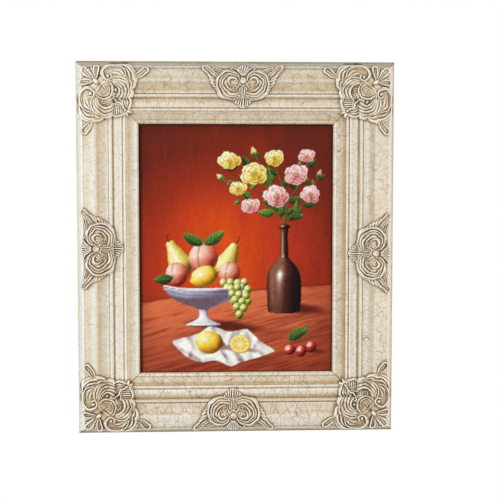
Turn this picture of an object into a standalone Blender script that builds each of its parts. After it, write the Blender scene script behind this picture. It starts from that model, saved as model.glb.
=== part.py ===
# Framed oil painting: a wide mitred moulding with four corner ornaments and four
# centre ornaments, a canvas on a mitred stretcher, and a hanger on the top rail.
# Metres, +Z up, the painting faces -Y, the origin is on the hanger's rear face.
import math
import bmesh
import bpy
import numpy as np
from mathutils import Matrix, Vector
from mathutils.geometry import delaunay_2d_cdt

# --- driving dimensions (metres) ---------------------------------------------
SIGHT_WIDTH = 0.267           # opening that shows the painting
SIGHT_HEIGHT = 0.343
RAIL_WIDTH = 0.0858           # moulding, outer edge to sight edge
OUTER_WIDTH = SIGHT_WIDTH + 2 * RAIL_WIDTH
OUTER_HEIGHT = SIGHT_HEIGHT + 2 * RAIL_WIDTH

SIDE_LIP = 0.0024             # upright strip at the back of the outer side
SIDE_SLOPE = 0.0088           # how far the outer side leans in
EDGE_HEIGHT = 0.0236          # outer front edge above the back
CREST_HEIGHT = 0.0305         # highest line of the moulding
CREST_AT = 0.0252             # its distance from the outer edge
FILLET_HEIGHT = 0.0238
FILLET_FROM = 0.0400
QUIRK_AT = 0.0454             # narrow line before the middle bead
BEAD_WIDTH = 0.0042
GROOVE_HEIGHT = 0.0198        # deep groove after the middle bead
BAND_FROM = 0.0534            # flat band
BAND_TO = 0.0628
BAND_HEIGHT = 0.0212
INNER_BEAD_FROM = 0.0648
INNER_BEAD_TO = 0.0690
COVE_TO = 0.0798
COVE_HEIGHT = 0.0134
SIGHT_BEAD_TO = 0.0838
SIGHT_EDGE_HEIGHT = 0.0124
RABBET_LEDGE = 0.0095         # ledge above the back
RABBET_WIDTH = 0.0060

GAP = 0.0003                  # clearance between touching pieces
CANVAS_THICK = 0.0009
STRETCHER_WIDTH = 0.0320
STRETCHER_BEVEL = 0.0012
CANVAS_MARGIN = 0.0050        # canvas edge beyond the sight edge

HANGER_LENGTH = 0.0460
HANGER_WIDTH = 0.0084
HANGER_THICK = 0.0010
HANGER_STAND = 0.0030         # rear face above the rail's back
HANGER_TAB = 0.0075
HANGER_DROP = 0.0240          # hanger line below the top edge
TOOTH_COUNT = 11
TOOTH_DEPTH = 0.0011

PLATE_LENGTH = 0.0300         # retaining plates
PLATE_WIDTH = 0.0120
PLATE_THICK = 0.0012
SCREW_RADIUS = 0.0014
SCREW_DEPTH = 0.0080
SCREW_HEAD = 0.0028
SCREW_HEAD_HIGH = 0.0009

MM = 0.001
CORNER_POINTS = 345           # surface points carved inside a corner ornament
CENTRE_POINTS = 290
PATH_STEP = 9.0               # surface points along the carving, in millimetres
PATH_TOLERANCE = 0.55
POINT_APART = 1.7
CENTRE_SHIFT = {"top": 0.0085, "right": 0.0057, "bottom": 0.0050, "left": 0.0015}

BACK_Y = -HANGER_STAND        # back plane of the frame
TOP_Z = HANGER_DROP
MID_Z = TOP_Z - OUTER_HEIGHT / 2


# --- scene helpers -----------------------------------------------------------
for thing in list(bpy.data.objects):
    bpy.data.objects.remove(thing, do_unlink=True)


def make_material(name, colour, roughness, metallic=0.0):
    made = bpy.data.materials.new(name)
    made.use_nodes = True
    shader = made.node_tree.nodes["Principled BSDF"]
    shader.inputs["Base Color"].default_value = (*colour, 1.0)
    shader.inputs["Roughness"].default_value = roughness
    shader.inputs["Metallic"].default_value = metallic
    made.diffuse_color = (*colour, 1.0)
    return made


def add_object(name, bm, colour, roughness, metallic=0.0, smooth_angle=None):
    bmesh.ops.recalc_face_normals(bm, faces=bm.faces)
    mesh = bpy.data.meshes.new(name)
    bm.to_mesh(mesh)
    bm.free()
    if smooth_angle:
        for face in mesh.polygons:
            face.use_smooth = True
        mesh.set_sharp_from_angle(angle=math.radians(smooth_angle))
    mesh.materials.append(make_material(name + "_finish", colour, roughness, metallic))
    made = bpy.data.objects.new(name, mesh)
    bpy.context.collection.objects.link(made)
    return made


def loft(rings, cap=True):
    """Closed tube through equal rings of points, with flat ends."""
    bm = bmesh.new()
    rows = [[bm.verts.new(point) for point in ring] for ring in rings]
    count = len(rows[0])
    for low, high in zip(rows, rows[1:]):
        for i in range(count):
            j = (i + 1) % count
            bm.faces.new((low[i], low[j], high[j], high[i]))
    if cap:
        ends = [bm.faces.new(list(reversed(rows[0]))), bm.faces.new(rows[-1])]
        bmesh.ops.triangulate(bm, faces=ends)
    return bm


# --- moulding section --------------------------------------------------------
def swell(d0, h0, d1, h1, rise, steps):
    """Points from one station to the next with a round (+) or hollow (-) bow."""
    out = []
    for i in range(1, steps + 1):
        t = i / steps
        bow = rise * math.sin(math.pi * t)
        out.append((d0 + (d1 - d0) * t, h0 + (h1 - h0) * t + bow))
    return out


def moulding_face():
    """Front of the moulding as (distance from outer edge, height above back)."""
    face = [(0.0, 0.0), (0.0, SIDE_LIP)]
    face += swell(0.0, SIDE_LIP, SIDE_SLOPE, EDGE_HEIGHT, -0.0004, 2)
    face += swell(SIDE_SLOPE, EDGE_HEIGHT, 0.0116, 0.0246, 0.0006, 3)
    face += swell(0.0116, 0.0246, CREST_AT, CREST_HEIGHT, 0.0010, 4)
    face += swell(CREST_AT, CREST_HEIGHT, 0.0292, 0.0296, 0.0005, 3)
    face += swell(0.0292, 0.0296, FILLET_FROM, FILLET_HEIGHT, -0.0016, 4)
    face += [(0.0444, FILLET_HEIGHT), (QUIRK_AT, 0.0226)]
    face += swell(QUIRK_AT, 0.0226, QUIRK_AT + BEAD_WIDTH, 0.0232, 0.0021, 4)
    face += [(0.0508, GROOVE_HEIGHT), (0.0522, GROOVE_HEIGHT), (BAND_FROM, BAND_HEIGHT)]
    face += swell(BAND_FROM, BAND_HEIGHT, BAND_TO, BAND_HEIGHT, 0.0006, 2)
    face += [(0.0637, 0.0186), (INNER_BEAD_FROM, 0.0192)]
    face += swell(INNER_BEAD_FROM, 0.0192, INNER_BEAD_TO, 0.0190, 0.0016, 3)
    face += [(0.0702, 0.0184)]
    face += swell(0.0702, 0.0184, COVE_TO, COVE_HEIGHT, -0.0016, 4)
    face += swell(COVE_TO + 0.0005, COVE_HEIGHT, SIGHT_BEAD_TO, 0.0140, 0.0010, 3)
    face += [(RAIL_WIDTH, SIGHT_EDGE_HEIGHT)]
    return face


FACE = moulding_face()
FACE_D = np.array([p[0] for p in FACE])
FACE_H = np.array([p[1] for p in FACE])
FACE_D[1] += 1e-9


def face_height(d):
    return np.interp(d, FACE_D, FACE_H)


def rail_section():
    return FACE + [(RAIL_WIDTH, RABBET_LEDGE), (RAIL_WIDTH - RABBET_WIDTH, RABBET_LEDGE),
                   (RAIL_WIDTH - RABBET_WIDTH, 0.0)]


def place(side, along, inward, height):
    """World point from rail coordinates: along the rail, inward, above the back."""
    half = {"top": OUTER_HEIGHT, "bottom": OUTER_HEIGHT}.get(side, OUTER_WIDTH) / 2
    out = half - inward
    turn = {"top": (along, out), "right": (out, -along),
            "bottom": (-along, -out), "left": (-out, along)}[side]
    return Vector((turn[0], BACK_Y - height, MID_Z + turn[1]))


def side_length(side):
    return OUTER_WIDTH if side in ("top", "bottom") else OUTER_HEIGHT


def mitred_bar(side, section, clearance):
    slack = clearance / 2 * math.sqrt(2)
    rings = []
    for end in (-1, 1):
        rings.append([place(side, end * (side_length(side) / 2 - d - slack), d, h)
                      for d, h in section])
    return loft(rings)


# --- carving in millimetres --------------------------------------------------
NOTHING = -9.0


def nearest_on_path(x, y, path):
    """Distance to a path and how far along it, 0 to 1, the nearest point is."""
    path = np.asarray(path, float)
    steps = np.diff(path, axis=0)
    lengths = np.hypot(steps[:, 0], steps[:, 1])
    run = np.concatenate([[0.0], np.cumsum(lengths)])
    best = np.full(x.shape, 1e9)
    along = np.zeros(x.shape)
    for i, length in enumerate(lengths):
        t = ((x - path[i, 0]) * steps[i, 0] + (y - path[i, 1]) * steps[i, 1]) / length ** 2
        t = np.clip(t, 0.0, 1.0)
        d = np.hypot(x - path[i, 0] - t * steps[i, 0], y - path[i, 1] - t * steps[i, 1])
        closer = d < best
        best = np.where(closer, d, best)
        along = np.where(closer, (run[i] + t * length) / run[-1], along)
    return best, along


def bent(points, steps=5, closed=False):
    """Smooth path through a few points."""
    p = [np.array(q, float) for q in points]
    n = len(p)
    out = []
    for i in range(n if closed else n - 1):
        b, c = p[i], p[(i + 1) % n]
        a = p[(i - 1) % n] if closed or i else 2 * b - c
        d = p[(i + 2) % n] if closed or i < n - 2 else 2 * c - b
        for k in range(steps):
            t = k / steps
            out.append(0.5 * (2 * b + (c - a) * t + (2 * a - 5 * b + 4 * c - d) * t ** 2
                              + (3 * b - a - 3 * c + d) * t ** 3))
    if not closed:
        out.append(p[-1])
    return np.array(out)


def arc_path(centre, radius, start, stop, count=16):
    a = np.radians(np.linspace(start, stop, count))
    return np.stack([centre[0] + radius * np.cos(a), centre[1] + radius * np.sin(a)], 1)


def spiral_path(centre, outer, inner, start, turns, count=20):
    t = np.linspace(0.0, 1.0, count)
    a = math.radians(start) + 2 * math.pi * turns * t
    r = outer + (inner - outer) * t
    return np.stack([centre[0] + r * np.cos(a), centre[1] + r * np.sin(a)], 1)


def inside(x, y, outline):
    hit = np.zeros(np.shape(x), bool)
    for (x0, y0), (x1, y1) in zip(outline, np.roll(outline, -1, axis=0)):
        if y0 != y1:
            hit ^= ((y0 > y) != (y1 > y)) & (x < (x1 - x0) * (y - y0) / (y1 - y0) + x0)
    return hit


SKIRT = 4.0                   # fall of an element's flank beyond its edge
ROWS = []                     # lines along crests and feet that the facets follow


def simple_path(path):
    """Path with just enough points for its bends, none further apart than a step."""
    thin = thin_out(np.asarray(path, float), PATH_TOLERANCE)
    out = [thin[0]]
    for a, b in zip(thin, thin[1:]):
        count = max(1, math.ceil(math.hypot(*(b - a)) / PATH_STEP))
        out += [a + (b - a) * k / count for k in range(1, count + 1)]
    return np.array(out)


def offset_path(path, first, last):
    """Simplified path moved sideways by a distance that changes along it."""
    keep = simple_path(path)
    way = np.gradient(keep, axis=0)
    way = way / np.maximum(np.hypot(way[:, 0], way[:, 1]), 1e-9)[:, None]
    run = np.concatenate([[0.0], np.cumsum(np.hypot(*np.diff(keep, axis=0).T))])
    width = first + (last - first) * run / run[-1]
    return keep + np.stack([-way[:, 1], way[:, 0]], 1) * width[:, None]


def beyond(path, distance):
    """Point past the end of a path."""
    way = np.asarray(path[-1], float) - np.asarray(path[-2], float)
    return np.array([np.asarray(path[-1], float) + way / math.hypot(*way) * distance])


def rib(x, y, path, width, crown, foot=1.5, ends=(0.5, 1.0), power=0.6):
    """Rounded rib along a path, half-width scaled between its two ends."""
    ROWS.append(np.vstack([beyond(path[::-1], width * ends[0]), simple_path(path),
                           beyond(path, width * ends[1])]))
    if width >= 2.5:
        ROWS.extend(offset_path(path, side * width * ends[0], side * width * ends[1])
                    for side in (-1.05, 1.05))
    d, along = nearest_on_path(x, y, path)
    w = width * (ends[0] + (ends[1] - ends[0]) * along)
    rise = crown * (0.6 + 0.4 * np.minimum(1.0, w / width))
    q = 1.0 - (d / w) ** 2
    return np.where(q > 0, foot + rise * np.maximum(q, 0) ** power, foot - SKIRT * (d - w))


def petal(x, y, path, width, rim, foot=1.3, start=0.35, peak=0.8, lip=0.26, crest=0.72):
    """Teardrop petal with a raised rolled edge round a hollow."""
    if crest:
        left, right = (offset_path(path, side * width * start, side * width)
                       for side in (-crest, crest))
        ROWS.append(np.vstack([left, beyond(path, crest * width), right[::-1]]))
        ROWS.append(simple_path(path))
    else:
        ROWS.append(np.vstack([simple_path(path), beyond(path, 0.6 * width)]))
    d, along = nearest_on_path(x, y, path)
    grow = np.sin(0.5 * math.pi * np.minimum(along / peak, 1.0))
    w = width * (start + (1.0 - start) * grow)
    q = d / w
    body = foot + rim * np.exp(-((q - crest) / lip) ** 2)
    body = np.maximum(body * np.sqrt(np.clip((1.0 - q) / 0.12, 0, 1)), 0.9 * foot)
    return np.where(q < 1, body, 0.9 * foot - SKIRT * (d - w))


def boss(x, y, centre, radii, crown, foot=1.5, turn=0.0):
    """Oval domed boss."""
    c, s = math.cos(math.radians(turn)), math.sin(math.radians(turn))
    if 3.3 < min(radii) < 9.0:
        ring = arc_path((0, 0), 1.0, 0, 315, 8) * radii
        ring = np.stack([ring[:, 0] * c - ring[:, 1] * s, ring[:, 0] * s + ring[:, 1] * c], 1)
        ROWS.extend([np.array([centre], float), ring + centre])
    u = ((x - centre[0]) * c + (y - centre[1]) * s) / radii[0]
    v = (-(x - centre[0]) * s + (y - centre[1]) * c) / radii[1]
    q = 1.0 - u ** 2 - v ** 2
    off = (np.sqrt(u ** 2 + v ** 2) - 1.0) * min(radii)
    return np.where(q > 0, foot + crown * np.maximum(q, 0) ** 0.6, foot - SKIRT * off)


def ground(x, y, outline, foot, body, edge=1.8):
    """Low ground plate that joins the carved elements."""
    d, _ = nearest_on_path(x, y, np.vstack([outline, outline[:1]]))
    rise = foot + (body - foot) * np.clip(d / edge, 0, 1)
    return np.where(inside(x, y, outline), rise, foot - SKIRT * d)


def corner_half(x, y):
    """Elements on one side of the corner's diagonal; the other side mirrors them."""
    hub = np.array([31.0, 31.0])
    carved = []
    for angle, length, width in ((90, 20.5, 3.7), (75, 20.0, 1.9), (61, 21.5, 2.0)):
        a = math.radians(angle)
        way = np.array([-math.cos(a), -math.sin(a)])
        broad = width > 3
        carved.append(petal(x, y, [hub + way * 3, hub + way * (length - width)], width,
                            2.9 if broad else 2.4, start=0.4, lip=0.3 if broad else 0.5,
                            crest=0.7 if broad else 0.0))
    scroll = bent([(71.5, 22.5), (70.5, 16), (65.5, 10.2), (58, 7.8), (50, 8.8),
                   (43.5, 12.2), (40.6, 18), (41.5, 24.5), (46, 28.3), (50.2, 26.6),
                   (50.6, 23), (47.6, 21.4)])
    carved.append(rib(x, y, scroll, 2.5, 3.9, 1.9, (0.75, 0.8)))
    carved.append(boss(x, y, (46.7, 24.4), (2.2, 2.2), 2.6, 2.2))
    inner_leaf = bent([(50, 25.2), (57, 22.6), (64, 22.4), (70, 26.0)])
    carved.append(rib(x, y, inner_leaf, 3.1, 2.0, 1.8))
    sweep = bent([(60, 8.2), (68, 8.6), (75.5, 13), (80, 20), (81.4, 28)])
    carved.append(rib(x, y, sweep, 3.0, 3.3, 1.6, (0.35, 1.0)))
    carved.append(rib(x, y, bent([(70, 13.5), (75.3, 19.5), (77.5, 27.5)]), 2.0, 2.9, 1.8))
    for radius, width, crown, start, stop in ((11.6, 3.4, 4.2, -96, 52), (20.0, 3.6, 3.8, -80, 44)):
        carved.append(rib(x, y, arc_path((54.0, 42.5), radius, start, stop), width, crown, 1.6,
                          (0.7, 0.9)))
    border = bent([(81.4, 27), (82.0, 35), (80.6, 42), (76.6, 48.5), (76.2, 53),
                   (77.4, 58.5), (76.0, 65), (73.6, 69.5)])
    carved.append(rib(x, y, border, 1.5, 2.9, 1.5, (1.0, 0.8)))
    carved.append(rib(x, y, [(63.5, 57.0), (73.6, 60.0)], 3.6, 2.8, 1.6, (0.7, 1.0)))
    horn = bent([(79, 24), (86, 22), (92.5, 18.6), (97, 15.6)])
    carved.append(petal(x, y, horn, 6.2, 2.8, 1.1, start=0.45, peak=0.75, lip=0.2))
    return carved


def corner_relief(x, y):
    """Corner ornament above its seat; x and y run inward from the outer edges."""
    flank = [(75.2, 72.5), (77.8, 66), (79.0, 59), (77.8, 51), (81.8, 43.5), (83.8, 36),
             (83.4, 26), (80.5, 17.5), (74, 11), (66, 6.6), (57, 5.6), (48.5, 6.6),
             (42, 10.5), (38.6, 17), (38.6, 22), (35.5, 27)]
    mirrored = [(b, a) for a, b in reversed(flank)]
    carved = [ground(x, y, bent(flank + [(31, 31)] + mirrored, 4, True), 1.4, 2.2)]
    carved += corner_half(x, y) + corner_half(y, x)
    hub = np.array([31.0, 31.0])
    way = -np.array([1.0, 1.0]) / math.sqrt(2)
    carved.append(petal(x, y, [hub + way * 3, hub + way * 21.5], 3.9, 2.9, start=0.4, lip=0.3,
                        crest=0.7))
    carved.append(boss(x, y, hub, (5.2, 3.2), 5.0, 1.6, 45))
    shell, radius = (42.3, 41.2), 11.6
    carved.append(boss(x, y, shell, (radius, radius), 2.6, 1.9))
    for k in range(3):
        a = math.radians(45 + 40 * (k - 1))
        way = np.array([math.cos(a), math.sin(a)])
        start = np.array([34.6, 33.4])
        carved.append(rib(x, y, [start + 3.5 * way, start + 12.0 * way], 2.6, 2.6, 2.2, (0.5, 1.0)))
    carved.append(rib(x, y, arc_path(shell, radius - 0.6, -78, 168, 24), 2.6, 3.9, 2.0, (0.75, 0.75)))
    carved.append(rib(x, y, bent([(56.5, 56.5), (62, 62), (68, 67.5)]), 1.7, 3.0, 2.0, (0.8, 1.0)))
    carved.append(boss(x, y, (72.6, 72.6), (3.2, 3.2), 2.8, 1.5))
    return np.maximum.reduce(carved)


def centre_half(x, y):
    """Elements on one side of the centre ornament's axis."""
    carved = [petal(x, y, [(3.4, 25.0), (13.6, 14.6)], 3.9, 2.9, start=0.3, peak=0.85, crest=0.7),
              rib(x, y, [(1.8, 24.5), (7.6, 12.6)], 1.6, 2.4, 1.4, (0.6, 1.0))]
    volute = bent([(5.6, 28.4), (8.2, 23.2), (15, 19.2), (23.5, 19.8), (31, 25.2), (33.8, 33.6),
                   (31.6, 42.4), (25.6, 48.9), (17.5, 51.8), (9.5, 51.2), (5.2, 47.4)])
    carved.append(rib(x, y, volute, 2.5, 3.9, 1.5, (0.7, 0.85)))
    second = bent([(11.6, 30.0), (15.6, 26.4), (21.4, 27.0), (26.0, 33.0), (24.8, 40.0),
                   (19.6, 44.8), (12.4, 45.2)])
    carved.append(rib(x, y, second, 3.3, 3.2, 1.5, (0.6, 0.85)))
    carved.append(boss(x, y, (14.4, 36.2), (3.6, 3.6), 3.6, 1.6))
    wing = bent([(31, 29.5), (38, 24.0), (45, 17.8), (50.4, 13.4)])
    carved.append(petal(x, y, wing, 5.2, 3.0, 1.2, start=0.9, peak=0.4, lip=0.24))
    lobe = bent([(25.5, 22.5), (31, 17.8), (37, 15.4), (42.6, 15.2)])
    carved.append(petal(x, y, lobe, 3.1, 2.5, 1.2, start=0.9, peak=0.4, lip=0.3, crest=0.66))
    carved.append(rib(x, y, bent([(39.0, 26.6), (36.8, 33.6), (33.4, 40.6)]), 2.0, 2.4, 1.2))
    for x0, y0, x1, y1 in ((8.0, 51.6, 15.0, 55.8), (3.8, 53.0, 8.4, 59.8)):
        carved.append(rib(x, y, [(x0, y0), (x1, y1)], 2.4, 2.9, 1.2, (0.7, 0.85)))
    carved.append(rib(x, y, bent([(4.8, 38.6), (6.4, 42.0), (4.6, 45.2)]), 1.6, 2.3, 1.8, (0.7, 1.0)))
    return carved


def centre_relief(x, y):
    """Centre ornament above its seat; x along the rail, y inward from its edge."""
    flank = [(4.8, 64.0), (7.6, 60.6), (12.0, 59.6), (12.8, 56.4), (17.0, 55.4), (20, 52.6),
             (27, 49.9), (32.6, 45.2), (36.4, 41.0), (38.6, 35.4), (41.6, 30.2), (45.8, 24.8),
             (51.0, 19.6), (56.2, 13.8), (55.6, 8.6), (49.8, 8.6), (44.5, 11.6), (36.5, 12.0),
             (30.5, 14.2), (25, 17.6), (19.6, 16.4), (18.0, 11.8), (13.4, 10.4), (5.2, 10.0)]
    mirrored = [(-a, b) for a, b in reversed(flank)]
    outline = bent([(0, 65.8)] + flank + [(0, 9.6)] + mirrored, 3, True)
    carved = [ground(x, y, outline, 1.3, 2.0, 1.6)]
    carved += centre_half(x, y) + centre_half(-x, y)
    carved.append(petal(x, y, [(0, 27), (0, 15.2)], 4.7, 3.2, peak=0.85, lip=0.22, crest=0.74))
    carved.append(boss(x, y, (0, 30.8), (4.6, 5.4), 5.6, 1.8))
    carved.append(rib(x, y, [(0, 38), (0, 48)], 2.4, 3.2, 1.8, (1.1, 0.8)))
    carved.append(rib(x, y, [(0, 52.5), (0, 62.4)], 2.5, 3.6, 1.3, (0.8, 0.9)))
    return np.maximum.reduce(carved)


# --- seat of the ornaments on the moulding -----------------------------------
def seat_table():
    """Soft upper envelope of the moulding face that the carving rides on."""
    d = np.arange(0.0, RAIL_WIDTH, 0.25 * MM)
    h = face_height(d)
    reach = 8
    high = np.array([h[max(0, i - reach):i + reach + 1].max() for i in range(len(d))])
    soft = np.array([high[max(0, i - reach):i + reach + 1].mean() for i in range(len(d))])
    return d, np.maximum(soft, h + 0.2 * MM)


SEAT_D, SEAT_H = seat_table()


def underside_stations(lift, tolerance):
    """Few stations of a line that stays just above the moulding face."""
    d = np.concatenate([FACE_D, np.arange(0.0, RAIL_WIDTH, 0.4 * MM)])
    d = np.unique(np.round(d, 6))
    d = d[(d >= 4 * MM) & (d <= 80 * MM)]
    h = face_height(d)
    keep = [0]
    while keep[-1] < len(d) - 1:
        i = keep[-1]
        best = i + 1
        for j in range(i + 2, len(d)):
            chord = np.interp(d[i:j + 1], [d[i], d[j]], [h[i], h[j]])
            off = chord - h[i:j + 1]
            if off.min() > -lift and off.max() < tolerance:
                best = j
        keep.append(best)
    return d[keep], h[keep] + lift + GAP


UNDER_D, UNDER_H = underside_stations(0.3 * MM, 1.0 * MM)


# --- relief solids -----------------------------------------------------------
def trace_outline(x, y, h, level):
    """Longest closed contour of the sampled height at a level."""
    step = x[0, 1] - x[0, 0]
    links = {}

    def cross(r0, c0, r1, c1):
        t = (level - h[r0, c0]) / (h[r1, c1] - h[r0, c0])
        return (round(float(x[r0, c0] + (c1 - c0) * step * t), 5),
                round(float(y[r0, c0] + (r1 - r0) * step * t), 5))

    solid = h > level
    busy = np.argwhere((solid[:-1, :-1] != solid[1:, :-1]) | (solid[:-1, :-1] != solid[:-1, 1:])
                       | (solid[:-1, :-1] != solid[1:, 1:]))
    for r, c in busy:
        ring = [(r, c), (r, c + 1), (r + 1, c + 1), (r + 1, c)]
        cuts = []
        for i in range(4):
            a, b = ring[i], ring[(i + 1) % 4]
            if solid[a] != solid[b]:
                cuts.append((solid[a], cross(*a, *b) if a < b else cross(*b, *a)))
        starts = [p for was_solid, p in cuts if was_solid]
        stops = [p for was_solid, p in cuts if not was_solid]
        for a, b in zip(starts, stops):
            links[a] = b
    best = []
    while links:
        first = next(iter(links))
        chain = [first]
        point = links.pop(first)
        while point != first and point in links:
            chain.append(point)
            point = links.pop(point)
        if len(chain) > len(best):
            best = chain
    return np.array(best)


def thin_out(points, tolerance):
    """Fewer points along a path, none further off than the tolerance."""
    if len(points) < 3:
        return points
    a, b = points[0], points[-1]
    way = b - a
    size = math.hypot(*way)
    rel = points - a
    off = np.abs(rel[:, 0] * way[1] - rel[:, 1] * way[0]) / size if size > 1e-6 else np.hypot(*rel.T)
    k = int(off.argmax())
    if off[k] <= tolerance:
        return np.array([a, b])
    return np.vstack([thin_out(points[:k + 1], tolerance)[:-1], thin_out(points[k:], tolerance)])


def simple_outline(points, tolerance):
    far = int(np.hypot(*(points - points[0]).T).argmax())
    one = thin_out(points[:far + 1], tolerance)
    two = thin_out(np.vstack([points[far:], points[:1]]), tolerance)
    return np.vstack([one[:-1], two[:-1]])


def split_at_stations(outline, inward):
    """Add outline points where it crosses the creases of the underside."""
    stations = [float(s) / MM for s in UNDER_D]
    out = []
    for a, b in zip(outline, np.roll(outline, -1, axis=0)):
        cuts = [(0.0, tuple(a))]
        for axis in inward:
            for s in stations:
                if (a[axis] - s) * (b[axis] - s) < 0:
                    t = (s - a[axis]) / (b[axis] - a[axis])
                    p = a + (b - a) * t
                    p[axis] = s
                    if len(inward) == 1 or p[1 - axis] >= s:
                        cuts.append((t, tuple(p)))
        if len(inward) == 2 and (a[0] - a[1]) * (b[0] - b[1]) < 0:
            t = (a[1] - a[0]) / ((b[0] - a[0]) - (b[1] - a[1]))
            mid = float((a + (b - a) * t).mean())
            cuts.append((t, (mid, mid)))
        size = math.hypot(*(b - a))
        last = -1.0
        for t, p in sorted(cuts):
            if last < 0 or ((t - last) * size > 0.02 and (1.0 - t) * size > 0.02):
                out.append(p)
                last = t
    return np.array(out)


def crease_edges(points, outline, inward):
    """Edges between outline points along the creases; adds the mitre points."""
    stations = [float(s) / MM for s in UNDER_D]
    edges = []

    def join(found):
        for i, j in zip(found, found[1:]):
            mid = (np.array(points[i]) + np.array(points[j])) / 2
            if inside(mid[0], mid[1], outline):
                edges.append((i, j))

    if len(inward) == 2:
        points += [(s, s) for s in stations if inside(s, s, outline)]
        join(sorted((i for i, p in enumerate(points) if abs(p[0] - p[1]) < 1e-7),
                    key=lambda i: points[i][0]))
    for axis in inward:
        for s in stations:
            found = [i for i, p in enumerate(points) if abs(p[axis] - s) < 1e-7
                     and (len(inward) == 1 or p[1 - axis] > s - 1e-7)]
            join(sorted(found, key=lambda i: points[i][1 - axis]))
    return edges


def triangulate_region(points, ring_count, extra_edges=()):
    edges = [(i, (i + 1) % ring_count) for i in range(ring_count)] + list(extra_edges)
    result = delaunay_2d_cdt([Vector(p) for p in points], edges, [], 1, 1e-5)
    verts = np.array([(v.x, v.y) for v in result[0]])
    return verts, np.array([tuple(f) for f in result[2]])


def feature_rows(relief, inward):
    """Rows of points along the crests and feet of the carved elements."""
    ROWS.clear()
    relief(np.zeros((1, 1)), np.zeros((1, 1)))
    rows = sorted(ROWS, key=len, reverse=True)
    return [r for row in rows for r in (row, row[:, ::-1] if len(inward) == 2 else row * (-1, 1))]


def fit_surface(outline, relief, total, budget, rows, grid_step=0.6, margin=0.8):
    """Points along the rows, then wherever the faceted surface is furthest off."""
    low, high = outline.min(axis=0), outline.max(axis=0)
    gx, gy = np.meshgrid(np.arange(low[0], high[0], grid_step), np.arange(low[1], high[1], grid_step))
    near, _ = nearest_on_path(gx, gy, np.vstack([outline, outline[:1]]))
    usable = inside(gx, gy, outline) & (near > margin)
    goal = total(gx, gy)
    chosen, edges = [], []
    ring = np.vstack([outline, outline[:1]])
    for row in rows:
        clear, _ = nearest_on_path(row[:, 0], row[:, 1], ring)
        within = inside(row[:, 0], row[:, 1], outline) & (clear > margin)
        last = None
        for p, ok in zip(row, within):
            apart = min((math.hypot(p[0] - q[0], p[1] - q[1]) for q in chosen), default=9.0)
            if not ok or apart < POINT_APART:
                last = None
                continue
            chosen.append((float(p[0]), float(p[1])))
            if last is not None:
                edges.append((len(outline) + last, len(outline) + len(chosen) - 1))
            last = len(chosen) - 1
            r, c = int(round((p[1] - low[1]) / grid_step)), int(round((p[0] - low[0]) / grid_step))
            usable[max(0, r - 1):r + 2, max(0, c - 1):c + 2] = False
    while len(chosen) < budget:
        verts, faces = triangulate_region(list(map(tuple, outline)) + chosen, len(outline), edges)
        heights = total(verts[:, 0], verts[:, 1])
        worst = []
        for face in faces:
            a, b, c = verts[face]
            r0 = max(0, int((min(a[1], b[1], c[1]) - low[1]) / grid_step))
            r1 = int((max(a[1], b[1], c[1]) - low[1]) / grid_step) + 2
            c0 = max(0, int((min(a[0], b[0], c[0]) - low[0]) / grid_step))
            c1 = int((max(a[0], b[0], c[0]) - low[0]) / grid_step) + 2
            px, py = gx[r0:r1, c0:c1], gy[r0:r1, c0:c1]
            area = (b[0] - a[0]) * (c[1] - a[1]) - (c[0] - a[0]) * (b[1] - a[1])
            if abs(area) < 1e-9 or not px.size:
                continue
            u = ((px - a[0]) * (c[1] - a[1]) - (c[0] - a[0]) * (py - a[1])) / area
            v = ((b[0] - a[0]) * (py - a[1]) - (px - a[0]) * (b[1] - a[1])) / area
            ok = (u > 0) & (v > 0) & (u + v < 1) & usable[r0:r1, c0:c1]
            if not ok.any():
                continue
            guess = heights[face[0]] + u * (heights[face[1]] - heights[face[0]])
            guess = guess + v * (heights[face[2]] - heights[face[0]])
            miss = np.where(ok, np.abs(goal[r0:r1, c0:c1] - guess), -1.0)
            k = int(miss.argmax())
            r, c = divmod(k, miss.shape[1])
            worst.append((float(miss[r, c]), r0 + r, c0 + c))
        worst.sort(reverse=True)
        for miss, r, c in worst[:max(12, min(60, (budget - len(chosen)) // 3))]:
            chosen.append((gx[r, c], gy[r, c]))
            usable[max(0, r - 1):r + 2, max(0, c - 1):c + 2] = False
            if len(chosen) >= budget:
                break
        if not worst:
            break
    return triangulate_region(list(map(tuple, outline)) + chosen, len(outline), edges)


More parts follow.
